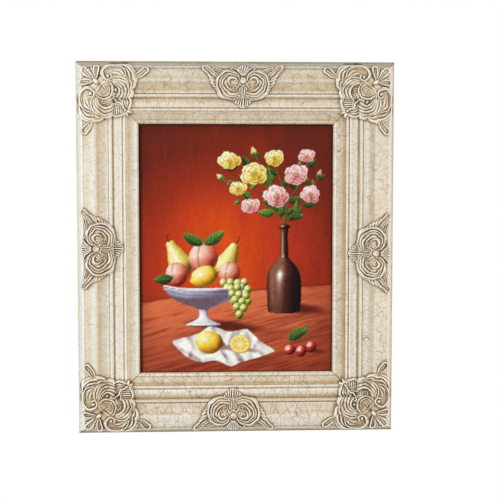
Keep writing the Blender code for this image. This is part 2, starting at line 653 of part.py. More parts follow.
def relief_solid(relief, spread, inward, budget, tolerance):
    """Closed solid as vertex and face lists: carved top, underside on the moulding."""
    gx, gy = np.meshgrid(np.arange(spread[0], spread[1], 0.5), np.arange(spread[2], spread[3], 0.5))
    outline = simple_outline(trace_outline(gx, gy, relief(gx, gy), 0.8), tolerance)
    outline = split_at_stations(outline, inward)

    def depth(x, y):
        return np.minimum(x, y) if len(inward) == 2 else y

    def total(x, y):
        seat = np.interp(depth(x, y) * MM, SEAT_D, SEAT_H) / MM
        low = np.interp(depth(x, y) * MM, UNDER_D, UNDER_H) / MM
        return np.maximum(seat + np.maximum(relief(x, y), 0.8), low + 1.0)

    top, top_faces = fit_surface(outline, relief, total, budget, feature_rows(relief, inward))
    points = list(map(tuple, outline))
    edges = crease_edges(points, outline, inward)
    low, low_faces = triangulate_region(points, len(outline), edges)
    top_h = total(top[:, 0], top[:, 1])
    low_h = np.interp(depth(low[:, 0], low[:, 1]) * MM, UNDER_D, UNDER_H) / MM
    verts = [(p[0], p[1], h) for p, h in zip(top, top_h)]
    verts += [(p[0], p[1], h) for p, h in zip(low, low_h)]
    shift = len(top)
    faces = [tuple(f) for f in top_faces]
    faces += [(shift + f[0], shift + f[2], shift + f[1]) for f in low_faces]
    ring_top = [int(np.hypot(*(top - p).T).argmin()) for p in outline]
    ring_low = [shift + int(np.hypot(*(low - p).T).argmin()) for p in outline]
    count = len(outline)
    for i in range(count):
        j = (i + 1) % count
        faces.append((ring_top[i], ring_low[i], ring_low[j]))
        faces.append((ring_top[i], ring_low[j], ring_top[j]))
    used = sorted({v for f in faces for v in f})
    index = {v: k for k, v in enumerate(used)}
    return [verts[v] for v in used], [tuple(index[v] for v in f) for f in faces]


def relief_object(name, solid, to_world, colour):
    bm = bmesh.new()
    made = [bm.verts.new(to_world(*v)) for v in solid[0]]
    for face in solid[1]:
        bm.faces.new([made[i] for i in face])
    return add_object(name, bm, colour, 0.5, smooth_angle=50)


# --- pieces ------------------------------------------------------------------
RAILS = ("top", "right", "bottom", "left")
IVORY = (0.72, 0.66, 0.53)


def add_cutter(name, centre, radius, depth):
    bm = bmesh.new()
    bmesh.ops.create_cone(bm, cap_ends=True, segments=10, radius1=radius, radius2=radius, depth=depth)
    bmesh.ops.rotate(bm, verts=bm.verts, matrix=Matrix.Rotation(math.pi / 2, 3, "X"))
    bmesh.ops.translate(bm, verts=bm.verts, vec=centre)
    cutter = add_object(name, bm, (0.5, 0.5, 0.5), 0.5)
    cutter.hide_render = True
    cutter.display_type = "WIRE"
    return cutter


def cut(target, cutters):
    for cutter in cutters:
        tool = target.modifiers.new("hole", "BOOLEAN")
        tool.operation = "DIFFERENCE"
        tool.solver = "EXACT"
        tool.object = cutter


def screw_places():
    """Hanger screws on the top rail and one plate screw on each rail's back."""
    reach = HANGER_LENGTH / 2 - HANGER_TAB / 2
    inward = RAIL_WIDTH - RABBET_WIDTH - 0.0085
    found = {side: [("plate_screw_" + side, place(side, 0.0, inward, 0.0))] for side in RAILS}
    for x, label in ((-reach, "left"), (reach, "right")):
        found["top"].append(("hanger_screw_" + label, Vector((x, BACK_Y, 0.0))))
    return found


def add_screw(name, spot, rest):
    """Domed screw; its head rests on a plate of the given thickness."""
    y_head = BACK_Y + rest + 2 * GAP
    profile = [(0.0, BACK_Y - SCREW_DEPTH), (SCREW_RADIUS - GAP, BACK_Y - SCREW_DEPTH + 0.003),
               (SCREW_RADIUS - GAP, y_head), (SCREW_HEAD, y_head),
               (SCREW_HEAD * 0.6, y_head + 0.85 * SCREW_HEAD_HIGH), (0.0, y_head + SCREW_HEAD_HIGH)]
    bm = bmesh.new()
    sides = 8
    rows = []
    for radius, y in profile:
        if radius == 0.0:
            rows.append([bm.verts.new((spot.x, y, spot.z))])
            continue
        ring = [2 * math.pi * k / sides for k in range(sides)]
        rows.append([bm.verts.new((spot.x + radius * math.cos(a), y, spot.z + radius * math.sin(a)))
                     for a in ring])
    for low, high in zip(rows, rows[1:]):
        for k in range(sides):
            j = (k + 1) % sides
            if len(low) == 1:
                bm.faces.new((low[0], high[k], high[j]))
            elif len(high) == 1:
                bm.faces.new((low[k], low[j], high[0]))
            else:
                bm.faces.new((low[k], low[j], high[j], high[k]))
    return add_object(name, bm, (0.62, 0.55, 0.34), 0.35, 1.0, smooth_angle=40)


def add_rails():
    spots = screw_places()
    for side in RAILS:
        rail = add_object(side + "_rail", mitred_bar(side, rail_section(), GAP), IVORY, 0.5)
        cutters = []
        for name, spot in spots[side]:
            centre = spot + Vector((0.0, -SCREW_DEPTH / 2, 0.0))
            cutters.append(add_cutter("cut_" + name, centre, SCREW_RADIUS, SCREW_DEPTH + 0.002))
        cut(rail, cutters)


def add_ornaments():
    corner = relief_solid(corner_relief, (-2.0, 110.0, -2.0, 110.0), (0, 1), CORNER_POINTS, 0.5)
    corners = (("top", "top_left"), ("right", "top_right"), ("bottom", "bottom_right"),
               ("left", "bottom_left"))
    for side, label in corners:
        start = -side_length(side) / 2
        relief_object("corner_ornament_" + label, corner,
                      lambda x, y, h: place(side, start + x * MM, y * MM, h * MM), IVORY)
    centre = relief_solid(centre_relief, (-62.0, 62.0, 2.0, 72.0), (1,), CENTRE_POINTS, 0.5)
    for side in RAILS:
        shift = CENTRE_SHIFT[side]
        relief_object("centre_ornament_" + side, centre,
                      lambda x, y, h: place(side, shift + x * MM, y * MM, h * MM), IVORY)


def add_canvas():
    half_w = SIGHT_WIDTH / 2 + CANVAS_MARGIN
    half_h = SIGHT_HEIGHT / 2 + CANVAS_MARGIN
    front = BACK_Y - (RABBET_LEDGE - GAP)
    rings = [[(sx * half_w, y, MID_Z + sz * half_h) for sx, sz in ((-1, -1), (1, -1), (1, 1), (-1, 1))]
             for y in (front, front + CANVAS_THICK)]
    add_object("canvas", loft(rings), (0.42, 0.12, 0.06), 0.45)
    start = RAIL_WIDTH - CANVAS_MARGIN
    top = RABBET_LEDGE - GAP - CANVAS_THICK - GAP
    section = [(start, 0.0), (start, top), (start + STRETCHER_WIDTH - STRETCHER_BEVEL * 3, top),
               (start + STRETCHER_WIDTH, top - STRETCHER_BEVEL), (start + STRETCHER_WIDTH, 0.0)]
    for side in RAILS:
        add_object("stretcher_bar_" + side, mitred_bar(side, section, GAP), (0.60, 0.45, 0.28), 0.7)


def add_hanger():
    """Bent strip with a saw-toothed lower edge and a flat tab at each end."""
    half = HANGER_LENGTH / 2
    inner = half - HANGER_TAB
    rise = 0.0020
    rear_low = BACK_Y + GAP + HANGER_THICK
    up = HANGER_WIDTH / 2
    stations = [(-half, rear_low), (-inner, rear_low), (-inner + rise, 0.0)]
    span = inner - rise
    stations += [(-span + 2 * span * k / TOOTH_COUNT, 0.0) for k in range(1, TOOTH_COUNT)]
    stations += [(span, 0.0), (inner, rear_low), (half, rear_low)]
    rings = []
    for i, (x, rear) in enumerate(stations):
        tooth = TOOTH_DEPTH if rear == 0.0 and 3 <= i <= TOOTH_COUNT + 1 and i % 2 else 0.0
        front = rear - HANGER_THICK
        rings.append([(x, rear, -up + tooth), (x, rear, up), (x, front, up), (x, front, -up + tooth)])
    hanger = add_object("hanger", loft(rings), (0.62, 0.55, 0.34), 0.35, 1.0)
    cutters = [add_cutter("cut_tab_" + name, spot + Vector((0.0, 0.001, 0.0)), SCREW_RADIUS, 0.004)
               for name, spot in screw_places()["top"] if name.startswith("hanger")]
    cut(hanger, cutters)


def add_plates():
    """Flat plates screwed to the rails that keep the stretcher in the rabbet."""
    for side in RAILS:
        screw_in = RAIL_WIDTH - RABBET_WIDTH - 0.0085
        first = screw_in - PLATE_WIDTH / 2
        low, high = GAP, GAP + PLATE_THICK
        half = PLATE_WIDTH / 2
        nose = 0.0030
        shape = [(-half, first + nose), (-half + nose, first), (half - nose, first),
                 (half, first + nose), (half, first + PLATE_LENGTH - nose),
                 (half - nose, first + PLATE_LENGTH), (-half + nose, first + PLATE_LENGTH),
                 (-half, first + PLATE_LENGTH - nose)]
        rings = [[place(side, a, d, -h) for a, d in shape] for h in (low, high)]
        plate = add_object("retaining_plate_" + side, loft(rings), (0.45, 0.45, 0.43), 0.4, 1.0)
        for name, spot in screw_places()[side]:
            if name.startswith("plate"):
                centre = spot + Vector((0.0, PLATE_THICK, 0.0))
                cut(plate, [add_cutter("cut_hole_" + name, centre, SCREW_RADIUS, 0.006)])


def add_screws():
    for side in RAILS:
        for name, spot in screw_places()[side]:
            rest = HANGER_THICK if name.startswith("hanger") else PLATE_THICK
            add_screw(name, spot, rest)


add_rails()
add_ornaments()
add_canvas()
add_hanger()
add_plates()
add_screws()
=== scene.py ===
import math
import bpy
import numpy as np
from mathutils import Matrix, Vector
from mathutils.geometry import delaunay_2d_cdt


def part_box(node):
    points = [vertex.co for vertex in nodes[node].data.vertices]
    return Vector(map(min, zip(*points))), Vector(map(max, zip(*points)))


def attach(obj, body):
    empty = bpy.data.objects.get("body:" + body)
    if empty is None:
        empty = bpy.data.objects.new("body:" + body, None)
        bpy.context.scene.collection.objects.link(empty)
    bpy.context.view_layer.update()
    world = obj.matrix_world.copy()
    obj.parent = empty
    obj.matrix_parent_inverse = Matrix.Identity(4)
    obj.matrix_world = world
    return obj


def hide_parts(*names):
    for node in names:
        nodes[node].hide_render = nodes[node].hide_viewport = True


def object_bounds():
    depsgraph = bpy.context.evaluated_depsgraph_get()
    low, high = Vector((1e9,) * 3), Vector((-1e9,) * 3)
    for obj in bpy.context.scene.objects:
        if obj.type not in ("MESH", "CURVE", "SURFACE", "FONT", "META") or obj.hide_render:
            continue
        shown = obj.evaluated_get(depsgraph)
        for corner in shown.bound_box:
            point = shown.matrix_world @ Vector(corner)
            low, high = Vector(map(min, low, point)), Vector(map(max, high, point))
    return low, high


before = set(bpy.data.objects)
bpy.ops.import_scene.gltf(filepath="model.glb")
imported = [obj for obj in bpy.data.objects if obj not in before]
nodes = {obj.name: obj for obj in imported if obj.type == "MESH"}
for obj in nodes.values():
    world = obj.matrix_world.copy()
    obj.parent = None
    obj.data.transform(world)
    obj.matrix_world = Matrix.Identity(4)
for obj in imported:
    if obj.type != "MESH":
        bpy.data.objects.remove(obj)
cadLow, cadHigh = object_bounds()
mm = 0.001
sides = ("top", "right", "bottom", "left")
print("frame loaded:", len(nodes), "pieces")


# shader maths: a wire is a socket that can be used in sums
class Wire:
    def __init__(self, finish, socket):
        self.finish, self.socket = finish, socket

    def maths(self, operation, first, second):
        return self.finish.add("ShaderNodeMath", {"operation": operation}, {0: first, 1: second})

    def __add__(self, other):
        return self.maths("ADD", self, other)

    def __sub__(self, other):
        return self.maths("SUBTRACT", self, other)

    def __rsub__(self, other):
        return self.maths("SUBTRACT", other, self)

    def __mul__(self, other):
        return self.maths("MULTIPLY", self, other)

    __radd__, __rmul__ = __add__, __mul__

    def most(self, other):
        return self.maths("MAXIMUM", self, other)

    def step(self, low, high):  # 0 below low, 1 above high, smooth between
        return self.finish.add("ShaderNodeMapRange", {"interpolation_type": "SMOOTHSTEP"},
                               {0: self, 1: low, 2: high})

    def held(self):  # kept between 0 and 1
        return self.finish.add("ShaderNodeClamp", {}, {0: self})


class Finish:
    def __init__(self, owner):  # a new material or world
        owner.use_nodes = True
        self.owner, self.tree = owner, owner.node_tree

    def feed(self, socket, value):
        if isinstance(value, Wire):
            self.tree.links.new(value.socket, socket)
        elif isinstance(value, tuple) and len(value) == 3 and len(socket.default_value) == 4:
            socket.default_value = (*value, 1.0)
        else:
            socket.default_value = value

    def add(self, kind, settings, sockets, out=0):
        node = self.tree.nodes.new(kind)
        for key, value in settings.items():
            if key == "stops":
                while len(node.color_ramp.elements) < len(value):
                    node.color_ramp.elements.new(0.5)
                for element, (place, colour) in zip(node.color_ramp.elements, value):
                    element.position, element.color = place, (*colour, 1.0)
            else:
                setattr(node, key, value)
        for key, value in sockets.items():
            self.feed(node.inputs[key], value)
        return Wire(self, node.outputs[out])

    def layer(self, name, out="Fac"):
        return self.add("ShaderNodeAttribute", {"attribute_name": name}, {}, out)

    def spot(self):  # the place on the piece, in metres
        return self.add("ShaderNodeTexCoord", {}, {}, "Object")

    def stretch(self, vector, factors, offset=(0.0, 0.0, 0.0)):
        return self.add("ShaderNodeVectorMath", {"operation": "MULTIPLY_ADD"},
                        {0: vector, 1: factors, 2: offset})

    def noise(self, vector, scale, detail, rough=0.5, out=0):
        return self.add("ShaderNodeTexNoise", {}, {"Vector": vector, "Scale": scale,
                                                   "Detail": detail, "Roughness": rough}, out)

    def ramp(self, value, stops):
        return self.add("ShaderNodeValToRGB", {"stops": stops}, {0: value})

    def mix(self, first, second, share):
        return self.add("ShaderNodeMix", {"data_type": "RGBA"}, {0: share, 6: first, 7: second}, 2)

    def bump(self, height, strength, distance):
        return self.add("ShaderNodeBump", {}, {"Height": height, "Strength": strength,
                                               "Distance": distance})

    def done(self, **sockets):
        for key, value in sockets.items():
            self.feed(self.tree.nodes["Principled BSDF"].inputs[key.replace("_", " ")], value)
        return self.owner


def newFinish(name):
    return Finish(bpy.data.materials.new(name))


def linear(screen):  # tones as seen on a screen, 0 to 1, made linear
    return np.where(screen <= 0.04045, screen / 12.92, ((screen + 0.055) / 1.055) ** 2.4)


def ink(*tone):  # a colour given as 0 to 255
    return tuple(float(v) for v in linear(np.array(tone) / 255))


# the frame's own axes: along a rail, inward from its outer edge, height above the back
leftX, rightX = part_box("left_rail")[0].x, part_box("right_rail")[1].x
bottomZ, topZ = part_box("bottom_rail")[0].z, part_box("top_rail")[1].z
outer = {"width": (rightX - leftX) / mm, "height": (topZ - bottomZ) / mm,
         "back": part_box("top_rail")[1].y / mm, "midX": (rightX + leftX) / 2 / mm,
         "midZ": (topZ + bottomZ) / 2 / mm}


def railLength(side):
    return outer["width"] if side in ("top", "bottom") else outer["height"]


def place(side, along, inward, height):  # from a rail's own axes to the frame's, in metres
    out = (outer["height"] if side in ("top", "bottom") else outer["width"]) / 2 - inward
    x, z = {"top": (along, out), "right": (out, -along), "bottom": (-along, -out),
            "left": (-out, along)}[side]
    return np.stack([outer["midX"] + x, outer["back"] - height, outer["midZ"] + z], -1) * mm


def quads(*corners):  # a face for every place in four like arrays of point numbers
    return np.stack(corners, -1).reshape(-1, 4).tolist()


def addPiece(name, points, faces, material, node, sharp, layers):
    mesh = bpy.data.meshes.new(name)
    mesh.from_pydata(points.tolist(), [], faces)
    mesh.shade_smooth()
    mesh.set_sharp_from_angle(angle=math.radians(sharp))
    for key, values in layers.items():
        kind, slot = ("FLOAT_COLOR", "color") if key == "paint" else \
            ("FLOAT_VECTOR", "vector") if values.ndim == 2 else ("FLOAT", "value")
        made = mesh.attributes.new(key, kind, "POINT")
        made.data.foreach_set(slot, values.astype(np.float32).ravel())
    mesh.materials.append(material)
    piece = bpy.data.objects.new(name, mesh)
    bpy.context.collection.objects.link(piece)
    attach(piece, "root")
    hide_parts(node)
    return piece


# the moulding, in millimetres
moulding = {"lip": 2.4, "sideSlope": 8.8, "edge": 23.6, "crest": 30.5, "crestAt": 25.2,
            "fillet": 23.8, "filletFrom": 40.0, "quirkAt": 45.4, "bead": 4.2, "groove": 19.8,
            "bandFrom": 53.4, "bandTo": 62.8, "band": 21.2, "width": 85.8, "sight": 12.4,
            "ledge": 9.5, "rabbet": 6.0, "coveTo": 79.8, "coveEase": 0.5, "cove": 13.4,
            "arris": 0.45, "sharp": 18, "crease": 28, "stepAlong": 2.6, "mitreGap": 0.2}
sightWidth = outer["width"] - 2 * moulding["width"]
sightHeight = outer["height"] - 2 * moulding["width"]


def bow(start, end, rise, steps):  # points after the start, on a line that bows by the rise
    t = np.arange(1, steps + 1) / steps
    return [(start[0] + (end[0] - start[0]) * k, start[1] + (end[1] - start[1]) * k
             + rise * math.sin(math.pi * k)) for k in t]


def mouldingLine(m):
    line = [(0.0, 0.0), (0.0, m["lip"])]
    for x, height, rise, steps in (  # where each stretch ends, how far it bows, its points
            (m["sideSlope"], m["edge"], -0.4, 6), (11.6, 24.6, 0.6, 5),
            (m["crestAt"], m["crest"], 1.0, 10), (29.2, 29.6, 0.5, 6),
            (m["filletFrom"], m["fillet"], -1.6, 12), (44.4, m["fillet"], 0, 1),
            (m["quirkAt"], 22.6, 0, 1), (m["quirkAt"] + m["bead"], 23.2, 2.1, 10),
            (50.8, m["groove"], 0, 1), (52.2, m["groove"], 0, 1), (m["bandFrom"], m["band"], 0, 1),
            (m["bandTo"], m["band"], 0.6, 5), (63.7, 18.6, 0, 1), (64.8, 19.2, 0, 1),
            (69.0, 19.0, 1.6, 9), (70.2, 18.4, 0, 1), (m["coveTo"], m["cove"], -1.6, 10)):
        line += bow(line[-1], (x, height), rise, steps)
    line += bow((m["coveTo"] + m["coveEase"], m["cove"]), (83.8, 14.0), 1.0, 8)
    rabbet = m["width"] - m["rabbet"]
    return line + [(m["width"], m["sight"]), (m["width"], m["ledge"]), (rabbet, m["ledge"]),
                   (rabbet, 0.0)]


def easeCorners(line, reach, least):  # a small arris wherever the line turns by least or more
    eased = [line[0]]
    for a, b, c in zip(line, line[1:], line[2:]):
        a, b, c = np.array(a), np.array(b), np.array(c)
        back, on = a - b, c - b
        backLong, onLong = np.hypot(*back), np.hypot(*on)
        turn = math.degrees(math.acos(np.clip(-(back @ on) / (backLong * onLong), -1, 1)))
        if turn < least:
            eased.append(tuple(b))
            continue
        near, far = b + back * min(reach / backLong, 0.4), b + on * min(reach / onLong, 0.4)
        eased += [tuple(near), tuple((near + 2 * b + far) / 4), tuple(far)]
    return eased + [line[-1]]


faceLine = np.array(mouldingLine(moulding)[1:-3])
faceAt = np.maximum.accumulate(faceLine[:, 0] + np.arange(len(faceLine)) * 1e-7)  # always rising
section = np.array(easeCorners(mouldingLine(moulding), moulding["arris"], moulding["sharp"]))


def faceHeight(inward):
    return np.interp(inward, faceAt, faceLine[:, 1])


def soften(values, spread, step):
    reach = math.ceil(2.5 * spread / step)
    weights = np.exp(-0.5 * (np.arange(-reach, reach + 1) * step / spread) ** 2)
    weights /= weights.sum()
    for axis in range(values.ndim):
        pad = [(reach, reach) if k == axis else (0, 0) for k in range(values.ndim)]
        padded = np.pad(values, pad, mode="edge")
        values = np.apply_along_axis(lambda row: np.convolve(row, weights, "valid"), axis, padded)
    return values


def hollowness(heights, step, fine, broad):  # how far the surface lies below its surroundings
    return sum((soften(heights, spread, step) - heights) / depth for spread, depth in (fine, broad))


# the seat that the castings lie on, which bridges the moulding's grooves
seat = {"step": 0.1, "bridge": 20, "spread": 1.0, "lift": 0.2}
stations = np.arange(0.0, moulding["width"], seat["step"])
lineHeights = faceHeight(stations)
seatHeights = np.array([lineHeights[max(0, k - seat["bridge"]):k + seat["bridge"] + 1].max()
                        for k in range(len(stations))])
seatHeights = np.maximum(soften(seatHeights, seat["spread"], seat["step"]), lineHeights + seat["lift"])
# where glaze gathers on the moulding: in its grooves, and not on its outer side
pocket = {"fine": (0.6, 0.8), "broad": (1.8, 3.4), "most": 0.42, "clean": 0.2, "cleanTo": 9.0,
          "cleanFade": 3.0}
lineHollow = hollowness(lineHeights, seat["step"], pocket["fine"], pocket["broad"])
cleaned = np.clip((pocket["cleanTo"] - stations) / pocket["cleanFade"], 0, 1)
lineHollow = np.minimum(lineHollow, pocket["most"]) - pocket["clean"] * cleaned


def unevenness(x, y, cell, seed):  # smooth random values from -1 to 1
    table = np.random.default_rng(seed).uniform(-1, 1, (128, 128))
    u, v = x / cell, y / cell
    i, j = np.floor(u).astype(int), np.floor(v).astype(int)
    s, t = u - i, v - j
    s, t = s * s * (3 - 2 * s), t * t * (3 - 2 * t)
    at = lambda a, b: table[a % 128, b % 128]
    return ((at(i, j) * (1 - s) + at(i + 1, j) * s) * (1 - t)
            + (at(i, j + 1) * (1 - s) + at(i + 1, j + 1) * s) * t)


def curve(points, steps=5, closed=False):  # a smooth line through the points
    p = [np.array(q, float) for q in points]
    count = len(p)
    out = []
    for k in range(count if closed else count - 1):
        b, c = p[k], p[(k + 1) % count]
        a = p[(k - 1) % count] if closed or k else 2 * b - c
        d = p[(k + 2) % count] if closed or k < count - 2 else 2 * c - b
        for t in np.arange(steps) / steps:
            out.append(0.5 * (2 * b + (c - a) * t + (2 * a - 5 * b + 4 * c - d) * t ** 2
                              + (3 * b - a - 3 * c + d) * t ** 3))
    return np.array(out if closed else out + [p[-1]])


def arc(centre, radius, start, stop):
    a = np.radians(np.linspace(start, stop, 22))
    return np.stack([centre[0] + radius * np.cos(a), centre[1] + radius * np.sin(a)], 1)


def nearest(x, y, path):  # distance, share of the way and side; a list of points is drawn as a curve
    path = curve(path) if isinstance(path, list) else path
    steps = np.diff(path, axis=0)
    lengths = np.hypot(steps[:, 0], steps[:, 1])
    run = np.concatenate([[0.0], np.cumsum(lengths)])
    best, along, hand = np.full(x.shape, 1e9), np.zeros(x.shape), np.zeros(x.shape)
    for k, length in enumerate(lengths):
        if length < 1e-9:
            continue
        t = ((x - path[k, 0]) * steps[k, 0] + (y - path[k, 1]) * steps[k, 1]) / length ** 2
        t = np.clip(t, 0.0, 1.0)
        dx, dy = x - path[k, 0] - t * steps[k, 0], y - path[k, 1] - t * steps[k, 1]
        d = np.hypot(dx, dy)
        closer = d < best
        best = np.where(closer, d, best)
        along = np.where(closer, (run[k] + t * length) / run[-1], along)
        hand = np.where(closer, (steps[k, 0] * dy - steps[k, 1] * dx) / length, hand)
    return best, along, hand


def depthInside(x, y, outline):  # distance to a closed outline, below 0 outside it
    within = np.zeros(x.shape, bool)
    for (x0, y0), (x1, y1) in zip(outline, np.roll(outline, -1, axis=0)):
        if y0 != y1:
            within ^= ((y0 > y) != (y1 > y)) & (x < (x1 - x0) * (y - y0) / (y1 - y0) + x0)
    d = nearest(x, y, np.vstack([outline, outline[:1]]))[0]
    return np.where(within, d, -d)


def axes(x, y, spot, bearing):  # distances from a spot, along and across a bearing
    a = math.radians(bearing)
    dx, dy = x - spot[0], y - spot[1]
    return dx * math.cos(a) + dy * math.sin(a), dy * math.cos(a) - dx * math.sin(a)


def around(spot, bearing, wide, tall):  # a point on an oval round the spot
    a = math.radians(bearing)
    return spot[0] + wide * math.cos(a), spot[1] + tall * math.sin(a)


# carving: every element is a height above the ornament's seat, falling off steeply outside it
fall = 3.6


class Relief:
    def __init__(self, x, y):
        self.x, self.y = x, y
        self.height = np.full(x.shape, -1e9)

    def put(self, height):
        self.height = np.maximum(self.height, height)

    def rib(self, path, width, crown, foot, ends, power=0.6):
        d, along, _ = nearest(self.x, self.y, path)
        w = width * (ends[0] + (ends[1] - ends[0]) * along)
        rise = crown * (0.6 + 0.4 * np.minimum(1.0, w / width))
        q = 1.0 - (d / w) ** 2
        self.put(np.where(q > 0, foot + rise * np.maximum(q, 0) ** power, foot - fall * (d - w)))

    # a strand with a short steep side and a long gentle one, thin at both ends
    def lock(self, path, steep, gentle, crown, foot, ends, flip=1, vein=0.0):
        d, along, hand = nearest(self.x, self.y, path)
        swell = np.sin(math.pi * (0.10 + 0.80 * along)) ** 0.8
        swell = np.maximum(swell, ends[0] * (1 - along) + ends[1] * along)
        outward = hand * flip > 0
        w = np.where(outward, steep, gentle) * swell
        q = np.clip(d / w, 0, 1)
        shape = np.where(outward, np.sqrt(1 - q ** 2), (1 - q) ** 1.15 * (1 + 0.6 * q))
        body = foot + crown * (0.4 + 0.6 * swell) * shape
        body = body - vein * np.exp(-((q - 0.45) / 0.13) ** 2) * ~outward
        self.put(np.where(d < w, body, foot - fall * (d - w)))

    # a hollow leaf with a raised rim: crest is where the rim stands, lip its breadth
    def leaf(self, path, width, rim, foot, start=0.24, peak=0.9, lip=0.27, crest=0.73, spine=0.0,
             uneven=0.15):
        d, along, hand = nearest(self.x, self.y, path)
        w = width * (start + (1 - start) * np.sin(0.5 * math.pi * np.minimum(along / peak, 1)))
        q = d / w
        tall = rim * (0.7 + 0.3 * along) * (1 + uneven * np.sign(hand) * np.clip(q * 2, 0, 1))
        body = foot + tall * np.exp(-((q - crest) / lip) ** 2) + spine * np.exp(-(d / 0.7) ** 2)
        body = np.maximum(body * np.sqrt(np.clip((1 - q) / 0.12, 0, 1)), 0.9 * foot)
        self.put(np.where(q < 1, body, 0.9 * foot - fall * (d - w)))

    def dome(self, centre, radii, crown, foot, turn=0.0):
        u, v = axes(self.x, self.y, centre, turn)
        far = np.hypot(u / radii[0], v / radii[1])
        body = foot + crown * np.maximum(1.0 - far ** 2, 0) ** 0.6
        self.put(np.where(far < 1, body, foot - fall * (far - 1.0) * min(radii)))

    def ground(self, outline, foot, body, edge=1.8):
        deep = depthInside(self.x, self.y, outline)
        self.put(foot + np.where(deep > 0, (body - foot) * np.clip(deep / edge, 0, 1), fall * deep))


hub = (31.0, 31.0)  # where the palmette's leaves meet


def outwardLeaf(angle, length):  # from near the hub towards the frame's corner
    return [around(hub, 180 + angle, far, far) for far in (4.0, length)]


def cornerHalf(r, eye, fluted):
    # one side of the palmette: a hollow leaf and two thin ones
    r.leaf(outwardLeaf(92, 17.7), 4.9, 3.1, 1.2, spine=1.1)
    for angle, length, width in ((72, 18.5, 1.5), (60, 19.2, 1.6)):
        r.leaf(outwardLeaf(angle, length), width, 2.0, 1.2, lip=0.5, crest=0.0)
    # hollow leaf under the scroll, with curled tips
    r.lock([(43.6, 18), (48, 13.2), (56, 11.6), (63.5, 14.5), (68, 20.5)], 1.0, 7.0, 1.5, 1.7,
           (0.5, 0.3), vein=0.5)
    r.lock([(57, 14.6), (64, 16.6), (68.6, 21.2), (71, 27)], 1.3, 3.2, 2.1, 1.7, (0.3, 0.5), -1)
    r.lock([(53, 19.2), (60, 19.4), (65.8, 22.6), (69, 27.6)], 1.3, 3.0, 1.9, 1.7, (0.2, 0.45), -1)
    # the scroll, and the strand that leaves it
    r.lock([(72, 24.4), (70.8, 18.2), (66, 12.4), (58.6, 9.4), (50.4, 9.6), (43.6, 12.8), (40.2, 18),
            (41.2, 24.4), (45.4, 28.6), (50.4, 28.2), (52.8, 24.8), (51.4, 21.4)],
           1.5, 2.9, 3.9, 1.9, (0.5, 0.62), -1, vein=0.9)
    r.dome((47.8, 24.2), (2.2, 2.4), 2.2, 2.0)
    r.lock([(51, 28.6), (57, 25.6), (64.2, 25.2), (71, 28.6), (75.6, 34.4)], 1.2, 3.0, 2.6, 1.6,
           (0.5, 0.3), vein=0.5)
    # outer sweep, a leaf with a rolled edge
    r.lock([(60, 8.2), (68.2, 9.2), (75.4, 13.4), (80.2, 20), (81.8, 28.5)], 1.5, 5.4, 3.3, 1.6,
           (0.3, 0.85), vein=1.0)
    r.lock([(69.5, 12.6), (74.8, 18.4), (77, 27)], 1.2, 2.4, 2.9, 1.8, (0.3, 0.7))
    # strands that run round the eye
    strands = [([(54.5, 29.4), (62.6, 29.2), (70.4, 33), (74.9, 41), (73.9, 49.8), (70.6, 55)],
                1.1, 4.4, 2.6),
               ([(54.6, 31.4), (61.6, 31.8), (67.6, 36), (70.7, 43), (69.4, 50.4), (66.6, 55.4)],
                1.1, 4.2, 3.1),
               ([(54.4, 33), (60.4, 34.4), (65, 38.8), (66.4, 45.2), (64.4, 51.2), (61.4, 55.6)],
                1.2, 4.2, 3.6),
               ([(55, 35), (59.4, 37.2), (62.2, 41.4), (61.8, 46.8), (58.6, 51.6)], 1.2, 3.4, 3.8)]
    for points, steep, gentle, crown in strands[:3 if fluted else 4]:
        r.lock(points, steep, gentle, crown, 1.6, (0.25, 0.45))
    r.dome((57.6, 42.4), (eye, eye), 2.0, 1.7)
    r.rib([(54.2, 37.4), (53.6, 42), (54.8, 46.6), (57.4, 48.6)], 1.2, 2.5, 1.8, (0.5, 0.9))
    r.dome((54.6, 49.6), (1.6, 1.3), 2.4, 1.9, 30)
    # ragged border with a groove inside it
    r.lock([(82.2, 26), (83, 32.4), (81.4, 37.4), (78, 40.6), (78.8, 45), (77.2, 49.6), (74.8, 52.6),
            (76.4, 57), (76.6, 61.6), (75, 65.4), (73, 69)], 1.1, 2.6, 2.9, 1.5, (0.9, 0.75))
    r.lock([(76.6, 29), (79.2, 34.6), (77.2, 39.6), (76.4, 45.4), (74.6, 50.6)], 1.0, 2.8, 2.3, 1.6,
           (0.5, 0.5))
    if fluted:  # a fan of flutes at the inner edge
        for t in np.linspace(0, 1, 7):
            r.rib([(61.4 + 0.6 * t, 52.8 + 15.6 * t), (74.4 - 1.4 * t, 53.4 + 14.8 * t)], 1.15, 2.1,
                  1.5, (0.85, 1.0), 0.75)
        r.rib([(60.6, 53), (61.4, 60), (61, 67)], 1.1, 2.9, 1.8, (0.8, 0.8))
        r.dome((57.4, 42.4), (8.6, 8.8), 1.2, 1.7)
        r.rib(arc((57.6, 42.4), 3.7, 0, 360), 0.7, 2.5, 1.8, (1.0, 1.0))
        r.rib(arc((57.5, 42.4), 6.6, -60, 230), 0.7, 2.2, 1.8, (0.5, 0.7))
    else:  # strands that run on down to the corner
        for points in ([(71.2, 53.6), (73, 58.6), (72.6, 66)], [(66.6, 54), (69.8, 58.8), (70.8, 65.4)],
                       [(61.4, 54.6), (65.8, 57.8), (68.8, 64)]):
            r.lock(points, 1.0, 2.4, 2.6, 1.5, (0.5, 0.5))
    # the horn that runs out along the rail
    r.leaf([(84, 24.6), (88, 22.6), (93, 19.6), (97.6, 15.6)], 5.4, 3.0, 1.1, start=0.5, lip=0.19,
           crest=0.76, spine=0.8, uneven=-0.12)
    return r.height


